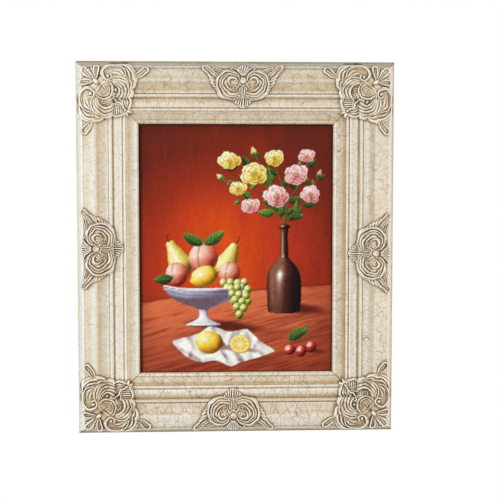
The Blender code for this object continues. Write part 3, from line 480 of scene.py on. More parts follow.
def cornerCarving(x, y):
    tipGap = 1.2  # the casting's tips come close to the frame's outer edge
    x, y = x + tipGap, y + tipGap
    flank = [(75, 72.2), (77.2, 66), (78, 59), (76.8, 51), (80.4, 43.5), (82.8, 36), (82.4, 26),
             (80, 18.5), (74, 12), (66, 8.4), (57, 7.6), (48.5, 8.4), (42, 11.5), (38.8, 17),
             (38.6, 22), (35.5, 27)]
    mirrored = [(b, a) for a, b in reversed(flank)]
    base = Relief(x, y)
    base.ground(curve(flank + [hub] + mirrored, 4, True), 1.4, 1.9)
    x, y = x + unevenness(x, y, 7, 31) * 0.8, y + unevenness(x, y, 7, 32) * 0.8
    r = Relief(x, y)
    for part in (base.height, cornerHalf(Relief(x, y), 2.2, False),
                 cornerHalf(Relief(y, x), 1.7, True)):
        r.put(part)
    r.leaf(outwardLeaf(45, 22.0), 5.0, 3.1, 1.2, spine=1.1)
    r.dome(hub, (4.2, 2.5), 3.7, 1.6, 45)
    # the shell: a rolled leaf lying across the diagonal, toothed along its upper edge
    r.dome((42.6, 42.2), (9.0, 12.6), 2.4, 1.6, 45)
    r.lock(arc((40.8, 41.4), 12.6, -46, 136), 1.4, 2.6, 3.5, 2.0, (0.4, 0.4))
    r.lock(arc((40.4, 41.0), 9.4, -40, 130), 1.1, 2.4, 2.3, 2.2, (0.4, 0.4))
    edgeAt, pitch, halfSpan = 60.2, 3.3, 10.5
    u, v = (x - y) / math.sqrt(2), (x + y) / math.sqrt(2) - edgeAt
    teeth = np.abs(np.sin((u + 0.14 * v) * math.pi / pitch)) ** 0.7
    span = (np.clip(1 - (u / halfSpan) ** 2, 0, 1) * np.clip((v + 6.0 - 0.022 * u ** 2) / 1.6, 0, 1)
            * np.clip((1.6 - v) / 5.0, 0, 1))
    r.put(np.where(span > 0, 2.9 + 2.3 * teeth * span ** 0.6, -9.0))
    r.lock([(52.8, 30.6), (46, 31.6), (38.8, 35.4), (33.4, 41.2), (31, 48)], 1.0, 2.4, 1.9, 1.8,
           (0.3, 0.3), -1)
    for centre, turn in (((50.6, 55.4), -90), ((53.2, 53.4), -45), ((55.2, 50.8), 0)):  # buds
        r.dome(centre, (1.2, 2.5), 3.0, 2.0, turn)
    r.rib([(54.8, 54), (58.6, 58.6), (62.6, 59.4), (65.8, 61.4), (67.2, 65), (70, 68.6)], 1.4, 3.4,
          2.0, (0.8, 1.0))
    r.dome((71.2, 73.4), (1.5, 3.4), 2.8, 1.5, -16)
    r.dome((73.4, 71.2), (3.4, 1.5), 2.8, 1.5, 16)
    return r.height


def centreHalf(r):
    r.dome((14.0, 37.6), (12.5, 11.5), 0.7, 1.8)
    r.leaf(np.array([(4.6, 24.0), (9.4, 18.2), (13.4, 14.8)]), 2.7, 3.8, 1.6, start=0.3, lip=0.26,
           crest=0.7, spine=0.5, uneven=0.0)
    for k in range(1, 4):  # a fan of flutes below the ball
        r.rib([around((0, 26), 13 * k - 90, far, far) for far in (3.0, 14.6 - 0.4 * k)],
              1.4, 4.0, 1.6, (0.5, 1.0))
    for points, steep, gentle, crown, foot in (  # the great scroll and the strands inside it
            ([(4.8, 29.2), (7.6, 22.8), (15, 18.6), (24, 18.8), (31.8, 24.8), (34.6, 33.8),
              (32.2, 43.2), (25.8, 50), (17, 53), (9, 51.8), (4.6, 49)], 1.4, 3.2, 4.2, 1.5),
            ([(23.4, 22), (28.4, 26.2), (30.6, 33), (28.6, 40.6), (23.6, 46.6), (16.4, 49.6),
              (5.6, 48)], 1.1, 3.7, 3.0, 1.7),
            ([(22.6, 25.2), (26.4, 29), (27.2, 34.6), (24.8, 40.4), (20.4, 44.6), (14.6, 46.4),
              (5.2, 44.6)], 1.1, 3.6, 2.8, 2.0),
            ([(22.2, 29.6), (23.4, 34.2), (21.4, 38.6), (17.4, 41.6), (12.4, 43)], 1.1, 3.4, 2.4, 2.2),
            ([(8.6, 30), (11.4, 26.6), (16, 26), (19.4, 28.8), (20, 33.4), (17.6, 37.2)],
             1.3, 2.6, 3.2, 2.0),
            ([(17, 39.6), (13.6, 40.8), (9.8, 40)], 1.0, 2.0, 1.6, 2.0),
            ([(8, 25.4), (14, 22), (20, 22.4), (24.6, 27)], 1.0, 4.2, 1.5, 2.0)):
        r.lock(points, steep, gentle, crown, foot, (0.35, 0.5), vein=0.9 if crown > 4 else 0.5)
    eye = (12.4, 34.2)
    for turn in range(15, 375, 60):  # a small rosette in the eye
        r.dome(around(eye, turn, 3.2, 3.4), (2.6, 1.4), 1.5, 1.9, turn)
    r.dome(eye, (1.4, 1.4), 1.8, 1.9)
    r.lock([(3.6, 35.4), (6.4, 35.6), (7.8, 38.6)], 0.9, 1.9, 2.4, 1.8, (0.6, 0.4))
    for points, crown in (([(1.5, 36), (2.5, 41), (2, 48.8)], 2.6),
                          ([(3, 37.6), (5.2, 40.4), (4.6, 44)], 2.3),
                          ([(4.6, 36.6), (8.2, 38.2), (9.4, 41.4)], 1.9)):
        r.lock(points, 0.9, 1.9, crown, 1.8, (0.5, 0.4))
    # the wing, its lobe and the leaflets under it
    r.leaf([(35, 27.4), (40.2, 23), (45.6, 18), (50.4, 13.4)], 4.7, 3.1, 1.2, start=0.9, peak=0.4,
           lip=0.2, crest=0.77)
    r.lock([(36, 25.6), (41.4, 20.8), (47.6, 15.4)], 0.9, 2.4, 1.9, 1.4, (0.4, 0.6))
    r.leaf([(25, 21.4), (29.6, 18), (34.6, 15.6), (39, 14.8)], 2.5, 2.6, 1.2, start=0.9, peak=0.4,
           lip=0.28, crest=0.7, uneven=0.0)
    for k in range(5):
        x, y = 46.4 - 2.5 * k, 23.0 + 4.3 * k
        r.lock([(x - 6.8 + 0.5 * k, y + 3.4), (x - 3.0, y + 2.0), (x, y)], 1.1, 2.2, 2.8, 1.2,
               (0.5, 0.75), -1)
    for points, width in (([(5.6, 51.6), (9.6, 53.6), (11.8, 54.6)], 1.4),  # a drop of thin ribs
                          ([(4.6, 51.4), (7.8, 55), (9, 57.8)], 1.3),
                          ([(3.4, 51), (5.4, 56), (6, 60)], 1.2),
                          ([(1.9, 50.6), (3, 56.2), (3.1, 61.6)], 1.0)):
        r.rib(points, width, 2.8, 1.2, (0.6, 1.0), 0.7)
    return r.height


def centreCarving(x, y):
    foot, stretch = 63.4, 1.045  # the drop's end stays, the rest is drawn out from it
    y = foot - (foot - y) / stretch
    flank = [(4, 63.4), (6.8, 60.6), (10.4, 58.6), (12.6, 55.6), (17, 55), (20, 52.6), (27, 49.9),
             (32.6, 45.2), (36.8, 41), (39.6, 35.4), (42.6, 30.2), (46.4, 24.6), (50.6, 19.6),
             (54.6, 14.2), (54.2, 9.8), (50.4, 8.9), (44.5, 12.8), (36.5, 12.8), (30.5, 14.8),
             (25, 17.6), (19.6, 16.8), (16.4, 13.2), (13, 12.2), (9.4, 13.2), (7.2, 12.2), (4.6, 11.4)]
    mirrored = [(-a, b) for a, b in reversed(flank)]
    base = Relief(x, y)
    base.ground(curve([(0, 65)] + flank + [(0, 10.8)] + mirrored, 3, True), 1.3, 1.8, 1.6)
    x, y = x + unevenness(x, y, 7, 33), y + unevenness(x, y, 7, 34)
    r = Relief(x, y)
    for part in (base.height, centreHalf(Relief(x, y)), centreHalf(Relief(-x, y))):
        r.put(part)
    r.rib([(0, 23), (0, 11.2)], 1.4, 4.0, 1.6, (0.5, 1.0))
    r.dome((0, 30.4), (4.6, 5.2), 2.6, 1.8)
    for low in (27.2, 29.6, 32.0):  # folds over the ball
        r.rib([(-3.0, low), (0, low + 1.8), (3.0, low)], 0.9, 1.3, 3.4, (0.5, 0.5))
    r.rib(arc((0, 31.4), 5.4, 20, 160), 1.1, 3.0, 1.8, (0.8, 0.8))
    r.rib([(0, 36), (0, 49)], 0.9, 2.2, 1.8, (1.1, 0.8))
    r.rib([(0, 50), (0, 63.4)], 1.3, 3.4, 1.3, (0.8, 0.9))
    return r.height


# castings: a fine skin over the carving, closed by a plain underside
casting = {"corner": (2.0, 104.0, 2.0, 104.0), "centre": (-60.0, 60.0, 4.0, 70.0), "step": 0.42,
           "bury": 1.1, "skin": 0.3, "limit": 36.95, "worn": 0.24, "wornAbove": 1.6, "rough": 0.20,
           "grain": 0.05, "roll": 2.2, "rollFrom": 7.2, "rim": 1.6, "coarse": 12, "clear": 2.0,
           "crease": 50}


def makeCasting(carving, field, isCorner):  # field: the span that the carving lies in
    def inwardAt(x, y):
        return np.minimum(x, y) if isCorner else y

    step = casting["step"]
    x, y = np.meshgrid(np.arange(*field[:2], step), np.arange(*field[2:], step))
    relief = carving(x, y)
    plain = casting["wornAbove"]
    worn = 1 + casting["worn"] * unevenness(x, y, 4.4, 7)
    relief = np.where(relief > plain, plain + (relief - plain) * worn, relief)
    inward = inwardAt(x, y)
    face = faceHeight(np.clip(inward, 0, moulding["width"]))
    overEdge = np.maximum(casting["rollFrom"] - inward, 0)
    bed = np.interp(inward, stations, seatHeights) - casting["roll"] * overEdge
    wobble = unevenness(x, y, 2.3, 5) * casting["rough"] + unevenness(x, y, 0.9, 6) * casting["grain"]
    total = np.minimum(bed + relief + wobble * np.clip(relief, 0, 1), casting["limit"])
    hollow = hollowness(np.maximum(total, face), step, (0.9, 0.9), (2.4, 2.6))
    rim = np.clip(1.0 - np.abs(total - face) / casting["rim"], 0, 1)
    # one patch without holes, where the carving stands clear of the moulding
    keep = total > face - casting["bury"]
    cells = largestPatch(keep[:-1, :-1] & keep[1:, :-1] & keep[:-1, 1:] & keep[1:, 1:])
    cells = ~largestPatch(np.pad(~cells, 1, constant_values=True))[1:-1, 1:-1]
    used = np.zeros(x.shape, bool)
    for a, b in ((0, 0), (1, 0), (0, 1), (1, 1)):
        used[a:a + cells.shape[0], b:b + cells.shape[1]] |= cells
    number = np.full(x.shape, -1)
    count = int(used.sum())
    number[used] = np.arange(count)
    faces = quads(number[:-1, :-1][cells], number[1:, :-1][cells], number[1:, 1:][cells],
                  number[:-1, 1:][cells])
    ring = borderLoop(cells, number)
    flat = np.stack([x[used], y[used]], 1)
    edge = flat[ring]
    # the underside: the same border, and a coarse net of points well inside it
    coarse = np.zeros(x.shape, bool)
    net = (slice(casting["coarse"] // 2, None, casting["coarse"]),) * 2
    coarse[net] = used[net]
    inner = [p for p in np.stack([x[coarse], y[coarse]], 1)
             if np.hypot(*(edge - p).T).min() > casting["clear"]]
    after = [(k + 1) % len(edge) for k in range(len(edge))]
    verts, _, tris, origins, *_ = delaunay_2d_cdt([Vector(p) for p in [*edge, *inner]],
                                                  list(enumerate(after)), [], 1, 1e-6)
    under = np.array([(v.x, v.y) for v in verts])
    underFace = faceHeight(np.clip(inwardAt(*under.T), 0, moulding["width"]))
    underHeight = underFace - casting["bury"] - casting["skin"]
    ringIndex = {origin: count + k for k, group in enumerate(origins) for origin in group}
    faces += [(count + a, count + b, count + c) for a, b, c in tris]
    faces += [(ring[j], ring[k], ringIndex[k], ringIndex[j]) for k, j in enumerate(after)]
    top = np.maximum(total, face - casting["bury"])[used]
    fill = np.zeros(len(under))
    return {"spots": np.vstack([flat, under]), "heights": np.concatenate([top, underHeight]),
            "faces": faces, "hollow": np.concatenate([hollow[used], fill]),
            "grime": np.concatenate([rim[used], fill + 1])}


def largestPatch(cells):
    label = np.zeros(cells.shape, int)
    sizes = [0]
    for start in zip(*np.nonzero(cells)):
        if label[start]:
            continue
        stack = [start]
        label[start] = len(sizes)
        sizes.append(0)
        while stack:
            r, c = stack.pop()
            sizes[-1] += 1
            for a, b in ((r + 1, c), (r - 1, c), (r, c + 1), (r, c - 1)):
                if (0 <= a < cells.shape[0] and 0 <= b < cells.shape[1]
                        and cells[a, b] and not label[a, b]):
                    label[a, b] = len(sizes) - 1
                    stack.append((a, b))
    return label == np.argmax(sizes)


def borderLoop(cells, number):  # the point numbers round the patch, in order
    links = {}
    padded = np.pad(cells, 1)
    for r, c in zip(*np.nonzero(cells)):
        for (a, b), (r0, c0), (r1, c1) in (((0, 1), (0, 1), (0, 0)), ((2, 1), (1, 0), (1, 1)),
                                           ((1, 0), (0, 0), (1, 0)), ((1, 2), (1, 1), (0, 1))):
            if not padded[r + a, c + b]:
                links[number[r + r0, c + c0]] = number[r + r1, c + c1]
    loops = []
    while links:
        first = next(iter(links))
        point, loop = links.pop(first), [first]
        while point != first:
            loop.append(point)
            point = links.pop(point)
        loops.append(loop)
    return max(loops, key=len)


# ivory paint under a brown glaze that stays in the hollows and the cracks
ivory = {"paint": ink(243, 237, 225), "warm": ink(231, 220, 200), "rubbedAndHighlit": ink(252, 248, 240),
         "tan": ink(204, 180, 143), "brown": ink(152, 122, 86), "umber": ink(92, 71, 50),
         "crack": ink(134, 86, 46),
         "rail": {"hollow": 0.66, "grime": 0.6, "speck": 0.25, "all": 0.05, "streak": 0.36,
                  "thread": 0.34, "cracks": 0.8, "rubAndHighlight": 1.0, "apart": 900},
         "cast": {"hollow": 0.45, "grime": 0.35, "speck": 0.5, "all": 0.40, "streak": 0.1,
                  "thread": 0.0, "cracks": 0.25, "rubAndHighlight": 0.42, "apart": 310},
         "crackle": {"top": 0.95, "right": 0.85, "bottom": 1.25, "left": 0.6},  # strength on each rail
         "railGlazeAndShade": {  # the glaze across each rail, with painted light and shade that differ from rail to rail: distance in from the outer edge, amount
             "top": ((0, 0.05), (4, 0.0), (10, 0.55), (14, -0.12), (25, 0.22), (35, 0.0), (40, 0.26),
                     (43, 0.0), (49.5, 0.55), (51.5, -0.20), (54, 0.45), (58, 0.0), (62, 0.1),
                     (63.7, -0.12), (67, 0.35), (74, -0.10), (80, 0.12), (82, 0.60), (84.5, 0.0)),
             "bottom": ((0, 0.40), (10, 0.55), (14, -0.32), (25, -0.05), (30, 0.08), (35, -0.1),
                        (43, 0.10), (45.4, 0.3), (47.6, 0.80), (50, 0.70), (51.5, -0.15), (54, 0.55),
                        (58, -0.05), (63.7, -0.10), (67, -0.05), (70, 0.58), (74, -0.05),
                        (78, -0.1), (82, 0.25), (84.5, 0.0)),
             "left": ((0, -0.25), (4, -0.25), (14, 0.05), (18, 0.15), (25, -0.18), (30, 0.25),
                      (36, -0.10), (43, 0.05), (45.4, -0.36), (49.5, 0.45), (51.5, -0.2), (54, -0.55),
                      (58, 0.0), (63.7, -0.38), (67, 0.05), (70, 0.22), (76, -0.12), (80, -0.50),
                      (84.5, 0.20)),
             "right": ((0, 0.0), (10, -0.35), (14, 0.0), (25, -0.05), (30, 0.24), (35, 0.1),
                       (40, -0.40), (43, 0.3), (45.4, -0.20), (49.5, 0.95), (51.5, -0.35),
                       (54, -0.65), (58, 0.0), (62, 0.12), (63.7, -0.2), (67, 0.15), (70, 0.80),
                       (73, 0.22), (80, -0.32), (84.5, 0.15))},
         "gather": {"foot": 1.4, "near": 0.9, "far": 3.6, "farShare": 0.42, "mitre": 0.8,
                    "mitreWide": 0.6, "back": 0.2},
         "castSideShade": {"top": (-0.36, -0.12), "right": (-0.16, -0.04), "bottom": (0.16, 0.14),
                       "left": (0.24, 0.08)}}  # painted light and shade on each side's corner and centre: below 0 lighter, above 0 darker


def timber(f, vector):  # bare pine, its grain along the vector's first axis
    rings = f.noise(f.stretch(vector, (0.018, 0.26, 0.26)), 1.0, 4.0, 0.6)
    pores = f.noise(f.stretch(vector, (0.12, 1.5, 1.5)), 1.0, 2.0)
    tone = f.ramp(rings, [(0.30, ink(226, 196, 148)), (0.52, ink(210, 174, 120)),
                          (0.70, ink(182, 140, 88))])
    return f.mix(tone, ink(144, 104, 62), pores.step(0.62, 0.8) * 0.35), rings + pores * 0.4


def ivoryFinish(name, kind):
    f, amount = newFinish(name), ivory[kind]
    lay = f.layer("lay", "Vector")
    hollow, grime = f.layer("hollow"), f.layer("grime")
    cloud = f.noise(lay, 0.05, 4.0, 0.6)
    streak = f.noise(f.stretch(lay, (0.025, 0.7, 0.2)), 1.0, 4.0, 0.6)
    speck = f.noise(lay, 1.1, 3.0, 0.6)
    thread = f.noise(f.stretch(lay, (0.018, 1.9, 0.5)), 1.0, 2.0)
    patchy = f.noise(lay, 0.07, 3.0)
    spread = f.noise(f.stretch(lay, (0.5, 0.5, 0.0), (90.0, 0.0, 0.0)), 0.1, 2.0)
    warp = f.stretch(f.noise(lay, 0.22, 2.0, 0.6, 1), (0.16, 0.16, 0.0), (-0.08, -0.08, 0.0))

    def net(lengths, shift, low, high):  # cracks between cells of these lengths
        even = f.stretch(lay, tuple(1 / length for length in lengths), shift)
        bent = f.add("ShaderNodeVectorMath", {"operation": "ADD"}, {0: even, 1: warp})
        seams = f.add("ShaderNodeTexVoronoi", {"feature": "DISTANCE_TO_EDGE"},
                      {"Vector": bent, "Scale": 1.0})
        return 1 - seams.step(low, high)

    across = net((9.5, 18.0, 15.0), (0.0, 0.0, 0.0), 0.004, 0.030)
    along = net((17.0, 11.0, 11.0), (3.7, 1.9, 0.0), 0.003, 0.022)
    fine = net((4.4, 9.0, 9.0), (3.7, 1.9, 0.0), 0.01, 0.07)
    cracks = (across * (patchy.step(0.36, 0.54) * 0.8 + 0.2)).most(
        along * spread.step(0.50, 0.62) * 0.8).most(fine * ((1 - patchy).step(0.40, 0.56) * 0.4))
    if kind == "rail":
        cracks = (cracks * f.layer("crackle")).held()
    # the brown tone: glaze in the hollows, plus glaze with painted light and shade from its layer
    glaze = (hollow * amount["hollow"] + grime * amount["grime"] + (cloud - 0.5) * 0.35
             + (speck - 0.5) * amount["speck"] + amount["all"]).held()
    tone = f.ramp(glaze, [(0.0, ivory["paint"]), (0.16, ivory["warm"]), (0.38, ivory["tan"]),
                          (0.66, ivory["brown"]), (1.0, ivory["umber"])])
    tone = f.mix(tone, ivory["tan"], streak.step(0.48, 0.74) * amount["streak"])
    tone = f.mix(tone, ivory["tan"], thread.step(0.52, 0.72) * amount["thread"])
    tone = f.mix(tone, ivory["crack"], cracks * amount["cracks"])
    # crests: paint worn through the glaze, and a painted highlight
    rubbedAndHighlit = ((0 - hollow) * amount["rubAndHighlight"]).held() * (0.1 + cloud)
    tone = f.mix(tone, ivory["rubbedAndHighlit"], rubbedAndHighlit.held())
    height = (speck * 0.25) - cracks * 0.35
    if kind == "rail":  # the backs of the rails are left bare
        depth = f.add("ShaderNodeSeparateXYZ", {}, {0: lay}, 2)
        bare = 1 - (depth + (speck - 0.5) * 0.8).step(0.1, 0.5)
        wood, grain = timber(f, lay)
        tone = f.mix(tone, wood, bare)
        height = height * (1 - bare) + grain * bare * 0.5
    return f.done(Base_Color=tone, Roughness=(0.44 + glaze * 0.3 + (speck - 0.5) * 0.12).held(),
                  Normal=f.bump(height, 0.35, 0.0004), Specular_IOR_Level=0.42)


railFinish, castFinish = ivoryFinish("ivoryMoulding", "rail"), ivoryFinish("ivoryCasting", "cast")


# the same castings at all corners and rail centres
cornerCasting = makeCasting(cornerCarving, casting["corner"], True)
centreCasting = makeCasting(centreCarving, casting["centre"], False)
cornerNames = {"top": "top_left", "right": "top_right", "bottom": "bottom_right",
               "left": "bottom_left"}
centreShift = {}
for index, side in enumerate(sides):
    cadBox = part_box("centre_ornament_" + side)
    middle = (cadBox[0] + cadBox[1]) / 2 / mm
    right, up = middle.x - outer["midX"], middle.z - outer["midZ"]
    centreShift[side] = {"top": right, "right": -up, "bottom": -right, "left": up}[side]
    for made, name, shift, sideShade in (
            (cornerCasting, "corner_ornament_" + cornerNames[side], -railLength(side) / 2,
             ivory["castSideShade"][side][0]),
            (centreCasting, "centre_ornament_" + side, centreShift[side],
             ivory["castSideShade"][side][1])):
        # sideShade: painted light and shade for this side's castings
        along, inward, height = made["spots"][:, 0], made["spots"][:, 1], made["heights"]
        lay = np.stack([along + ivory["cast"]["apart"] * index, inward, height], -1)
        addPiece(name.replace("ornament", "carving"), place(side, shift + along, inward, height),
                 made["faces"], castFinish, name, casting["crease"],
                 {"lay": lay, "hollow": made["hollow"], "grime": made["grime"] + sideShade})
print("castings made:", len(cornerCasting["faces"]), len(centreCasting["faces"]), "faces")


# rails: the moulding drawn fine, with the glaze that gathered round the castings, and painted light and
# shade across each rail
def makeRail(side, index):
    length, count = railLength(side), len(section)
    rows = int(length / moulding["stepAlong"])
    share = np.linspace(-1, 1, rows + 1)[:, None]
    along = share * (length / 2 - section[:, 0] - moulding["mitreGap"])
    inward, height = section[:, 0] + 0 * along, section[:, 1] + 0 * along
    points = place(side, along, inward, height).reshape(-1, 3)
    grid = np.arange((rows + 1) * count).reshape(-1, count)
    beside = np.roll(grid, -1, 1)
    faces = quads(grid[:-1], beside[:-1], beside[1:], grid[1:])
    faces += [grid[0, ::-1].tolist(), grid[-1].tolist()]
    fromStart, fromEnd = along + length / 2, length / 2 - along
    carved = np.maximum.reduce([cornerCarving(fromStart, inward), cornerCarving(inward, fromEnd),
                                centreCarving(along - centreShift[side], inward)])
    gather = ivory["gather"]
    away = np.clip((gather["foot"] - carved) / fall, 0, 30)
    grime = np.exp(-away / gather["near"]) + gather["farShare"] * np.exp(-away / gather["far"])
    fromMitre = np.minimum(fromStart, fromEnd) - inward
    grime = grime + gather["mitre"] * np.exp(-fromMitre / gather["mitreWide"])
    # the glaze and the painted light and shade across this rail
    grime = grime + np.interp(inward, *zip(*ivory["railGlazeAndShade"][side]))
    onBack = height < moulding["ledge"] + 0.01
    hollow = np.where(onBack, gather["back"], np.interp(inward, stations, lineHollow))
    lay = np.stack([along + ivory["rail"]["apart"] * index, inward, height], -1).reshape(-1, 3)
    addPiece(side + "_rail_moulding", points, faces, railFinish, side + "_rail",
             moulding["crease"], {"lay": lay, "hollow": hollow.ravel(), "grime": grime.ravel(),
                                  "crackle": np.full(len(points), ivory["crackle"][side])})


for index, side in enumerate(sides):
    makeRail(side, index)
print("rails made")


# canvas: fruit and blossom before a red ground, painted point by point on a fine sheet
canvas = {"step": 1.05, "sag": 0.25, "tableEdge": 112.0, "wander": 0.5, "crease": 30, "back": 0.7,
          "light": (-0.50, 0.46, 0.74), "shadeTilt": -6,
          "lipShadow": (6.0, 2.4, 1.8, 3.4)}  # its width left, right, below and above
sheetLow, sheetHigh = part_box("canvas")


def blend(under, over, share):
    return under + (np.array(over, float) - under) * share[..., None]


def rise(values, start, stop):
    t = np.clip((values - start) / (stop - start), 0, 1)
    return t * t * (3 - 2 * t)


# tones of each thing, from its shadow to its light
lemon = [(104, 62, 12), (176, 112, 18), (226, 170, 34), (246, 212, 84), (255, 240, 160)]
peach = [(96, 26, 22), (168, 58, 48), (216, 112, 92), (238, 168, 142), (252, 218, 196)]
pear = [(74, 58, 14), (134, 112, 30), (190, 164, 54), (226, 204, 98), (250, 240, 168)]
grape = [(42, 50, 16), (96, 104, 32), (152, 156, 58), (200, 198, 98), (240, 238, 170)]
cherry = [(44, 4, 8), (104, 10, 16), (164, 26, 28), (206, 66, 54), (250, 176, 160)]
china = [(104, 84, 96), (150, 138, 154), (198, 194, 202), (228, 228, 228), (250, 250, 246)]
linen = [(126, 84, 84), (172, 146, 150), (212, 202, 200), (236, 230, 224), (252, 248, 240)]
glass = [(10, 5, 6), (22, 8, 9), (42, 15, 14), (74, 32, 26), (140, 88, 68)]
leafy = [(10, 24, 14), (26, 54, 24), (56, 94, 34), (104, 138, 54), (168, 190, 104)]
rosy = [(128, 48, 50), (190, 98, 98), (226, 148, 146), (244, 194, 190), (255, 234, 230)]
cream = [(134, 84, 20), (198, 150, 40), (232, 196, 74), (248, 226, 128), (255, 248, 206)]
twig = [(40, 18, 10), (84, 50, 24), (128, 92, 44), (168, 136, 78)]
stalk = [(40, 20, 10), (96, 64, 34)]


def ball(radius):
    return [(radius * up, radius * out) for up, out in (
        (0, 0), (0.05, 0.31), (0.3, 0.71), (1, 1), (1.7, 0.71), (1.95, 0.31), (2, 0))]


class Easel:
    def __init__(self, x, y):  # millimetres from the lower left of the picture
        self.x = x + unevenness(x, y, 7, 11) * canvas["wander"]
        self.y = y + unevenness(x, y, 7, 12) * canvas["wander"]
        self.brush = unevenness(x, y, 2.6, 13) * 0.6 + unevenness(x * 0.5, y, 1.7, 17) * 0.4
        self.colour = np.zeros(x.shape + (3,))

    def cover(self, tone, mask):
        self.colour = blend(self.colour, tone, mask)

    def shades(self, light, tones):
        levels = np.linspace(0.0, 0.95, len(tones))
        return np.stack([np.interp(light, levels, [t[k] for t in tones]) for k in range(3)], -1)

    # a round body: outline gives its half width at each height above the spot
    def turned(self, spot, lean, outline, tones, shine=0.6, crease=0.0, sit=0.0):
        across, up = axes(self.x, self.y, spot, -lean)
        line = curve(outline, 8)
        widest = line[:, 1].max()
        up = up + sit * np.sqrt(np.clip(1 - (across / widest) ** 2, 0, 1))  # rings seen from above
        slope = np.gradient(line[:, 1]) / np.maximum(np.gradient(line[:, 0]), 0.05)
        half = np.interp(up, line[:, 0], line[:, 1], left=0, right=0)
        lift = -np.clip(np.interp(up, line[:, 0], slope), -2.5, 2.5)
        side = np.clip(across / np.maximum(half, 0.05), -1, 1)
        size = np.sqrt(1 + lift ** 2)
        c, s = math.cos(math.radians(lean)), math.sin(math.radians(lean))
        right, top = (side * c + lift * s) / size, (lift * c - side * s) / size
        facing = np.sqrt(1 - side ** 2) / size
        lx, ly, lz = canvas["light"]
        light = np.maximum(right * lx + top * ly + facing * lz, 0.02)
        glow = 0.16 * rise(side, 0.55, 1.0)  # light thrown back into the shadow
        tone = self.shades(light + glow + self.brush * 0.035, tones)
        dent = 0.6 * crease * np.exp(-((across + 0.35 * half) / 1.3) ** 2)
        spark = np.clip(right * lx * 0.54 + top * ly * 0.54 + facing * 0.93, 0, 1) ** 60
        tone = blend(blend(tone, tones[0], dent), (255, 250, 240), np.clip(spark * shine * 1.3, 0, 1))
        self.cover(tone, rise(half - np.abs(across), -0.2, 0.9) * (half > 0.1))

    def leaf(self, spot, bearing, length, width, vein, curl, light):
        run, across = axes(self.x, self.y, spot, bearing)
        run = run / length
        across = across - curl * run * (1 - run) * length
        half = width * np.sin(math.pi * np.clip(run, 0, 1) ** 0.85) ** 0.8
        mask = rise(half - np.abs(across), -0.2, 0.7) * ((run > 0) & (run < 1))
        lit = np.sign(math.cos(math.radians(bearing)) + 0.01)
        upper = np.clip(across / np.maximum(half, 0.3), -1, 1) * lit
        shade = light + 0.26 * upper + 0.22 * (run - 0.4) + self.brush * 0.08
        shade = shade + vein * np.sin((run * length - np.abs(across) * 0.8) * 1.15)
        shade = shade + 3.2 * vein * np.exp(-(across / 0.7) ** 2)
        self.cover(self.shades(shade, leafy), mask)

    def line(self, path, width, tones):
        d, _, hand = nearest(self.x, self.y, path)
        light = 0.5 + 0.4 * np.clip(hand / width, -1, 1)
        self.cover(self.shades(light, tones), rise(width - d, -0.4, 0.5))

    def frill(self, spot, bearing, reach, width, tones, light):  # one rounded flower petal
        run, across = axes(self.x, self.y, spot, bearing)
        run, across = run / reach, across / width
        q = np.hypot((run - 0.54) / 0.48, across) + 0.05 * np.sin(9 * across + bearing)
        self.cover(tones[0], 0.62 * (1 - rise(q, 0.96, 1.16)) * (run > 0.1))
        a = math.radians(bearing)
        upper = across * math.cos(a) + run * math.sin(a) * 0.6
        shade = light + 0.55 * (run - 0.62) + 0.16 * upper + self.brush * 0.10
        shade = shade + 0.34 * np.exp(-((q - 0.86) / 0.09) ** 2) * rise(run, 0.35, 0.7)
        shade = shade - 0.10 * np.exp(-(across / 0.16) ** 2)
        self.cover(self.shades(shade, tones), 1 - rise(q, 0.92, 1.02))

    def bloom(self, spot, size, turn, squash, tones):
        for ring, petals, lift in ((1.0, 6, 0.0), (0.76, 5, 0.06), (0.50, 4, 0.12)):
            for k in range(petals):
                a = math.radians(turn + 360 / petals * (k + 2.3 * ring))
                reach = math.hypot(math.cos(a), squash * math.sin(a)) * size * ring
                reach = reach * (1 + 0.08 * math.sin(3.7 * k + turn))
                way = math.degrees(math.atan2(squash * math.sin(a), math.cos(a)))
                lit = 0.50 - 0.20 * math.cos(a + 0.8) + lift + 0.06 * math.sin(5.1 * k + turn)
                self.frill(spot, way, reach, size * ring * 0.47, tones, lit)
        self.oval(spot, (size * 0.17, size * 0.15 * squash), (116, 78, 26), 0.9, 0.4)
        for k in range(5):
            dot = around(spot, 72 * k + turn, size * 0.10, size * 0.08)
            self.oval(dot, (size * 0.05, size * 0.05), (244, 212, 96), 0.9, 0.4)

    def bud(self, spot, lean, size, tones):
        outline = [(0, 0), (0.06, 0.16), (0.38, 0.28), (0.72, 0.17), (0.96, 0.03), (1, 0)]
        self.turned(spot, lean, [(size * up, size * out) for up, out in outline], tones, 0.3, 0.6)
        for side in (-26, 0, 26):
            self.leaf(spot, 90 - lean + side, size * 0.56, size * 0.11, 0.0, 0.0, 0.45)

    def branch(self, points, leaves, size):
        path = curve(points)
        for k in range(leaves):
            t = (k + 0.8) / leaves
            i = min(int(t * (len(path) - 1)), len(path) - 2)
            way = math.degrees(math.atan2(*(path[i + 1] - path[i])[::-1]))
            long = size * (1 - 0.3 * t) * (0.9 + 0.2 * math.sin(2.3 * k + size))
            hand = 1 if k % 2 else -1
            self.leaf(path[i], way + hand * (50 - 16 * t), long, long * 0.25, 0.05, 0.24 * hand,
                      0.40 + 0.14 * math.sin(1.7 * k))
        self.line(path, 0.9, twig)

    def bunch(self, rows, top, pitch, radius, sway, wave):  # rows: how many grapes, first one's place
        for row, (count, left) in enumerate(rows):
            for k in range(count):
                y = top - 8.6 * row + sway * math.sin(wave * k + row)
                self.turned((left + pitch * k, y - 5.6), 0, ball(radius), grape, 0.9)

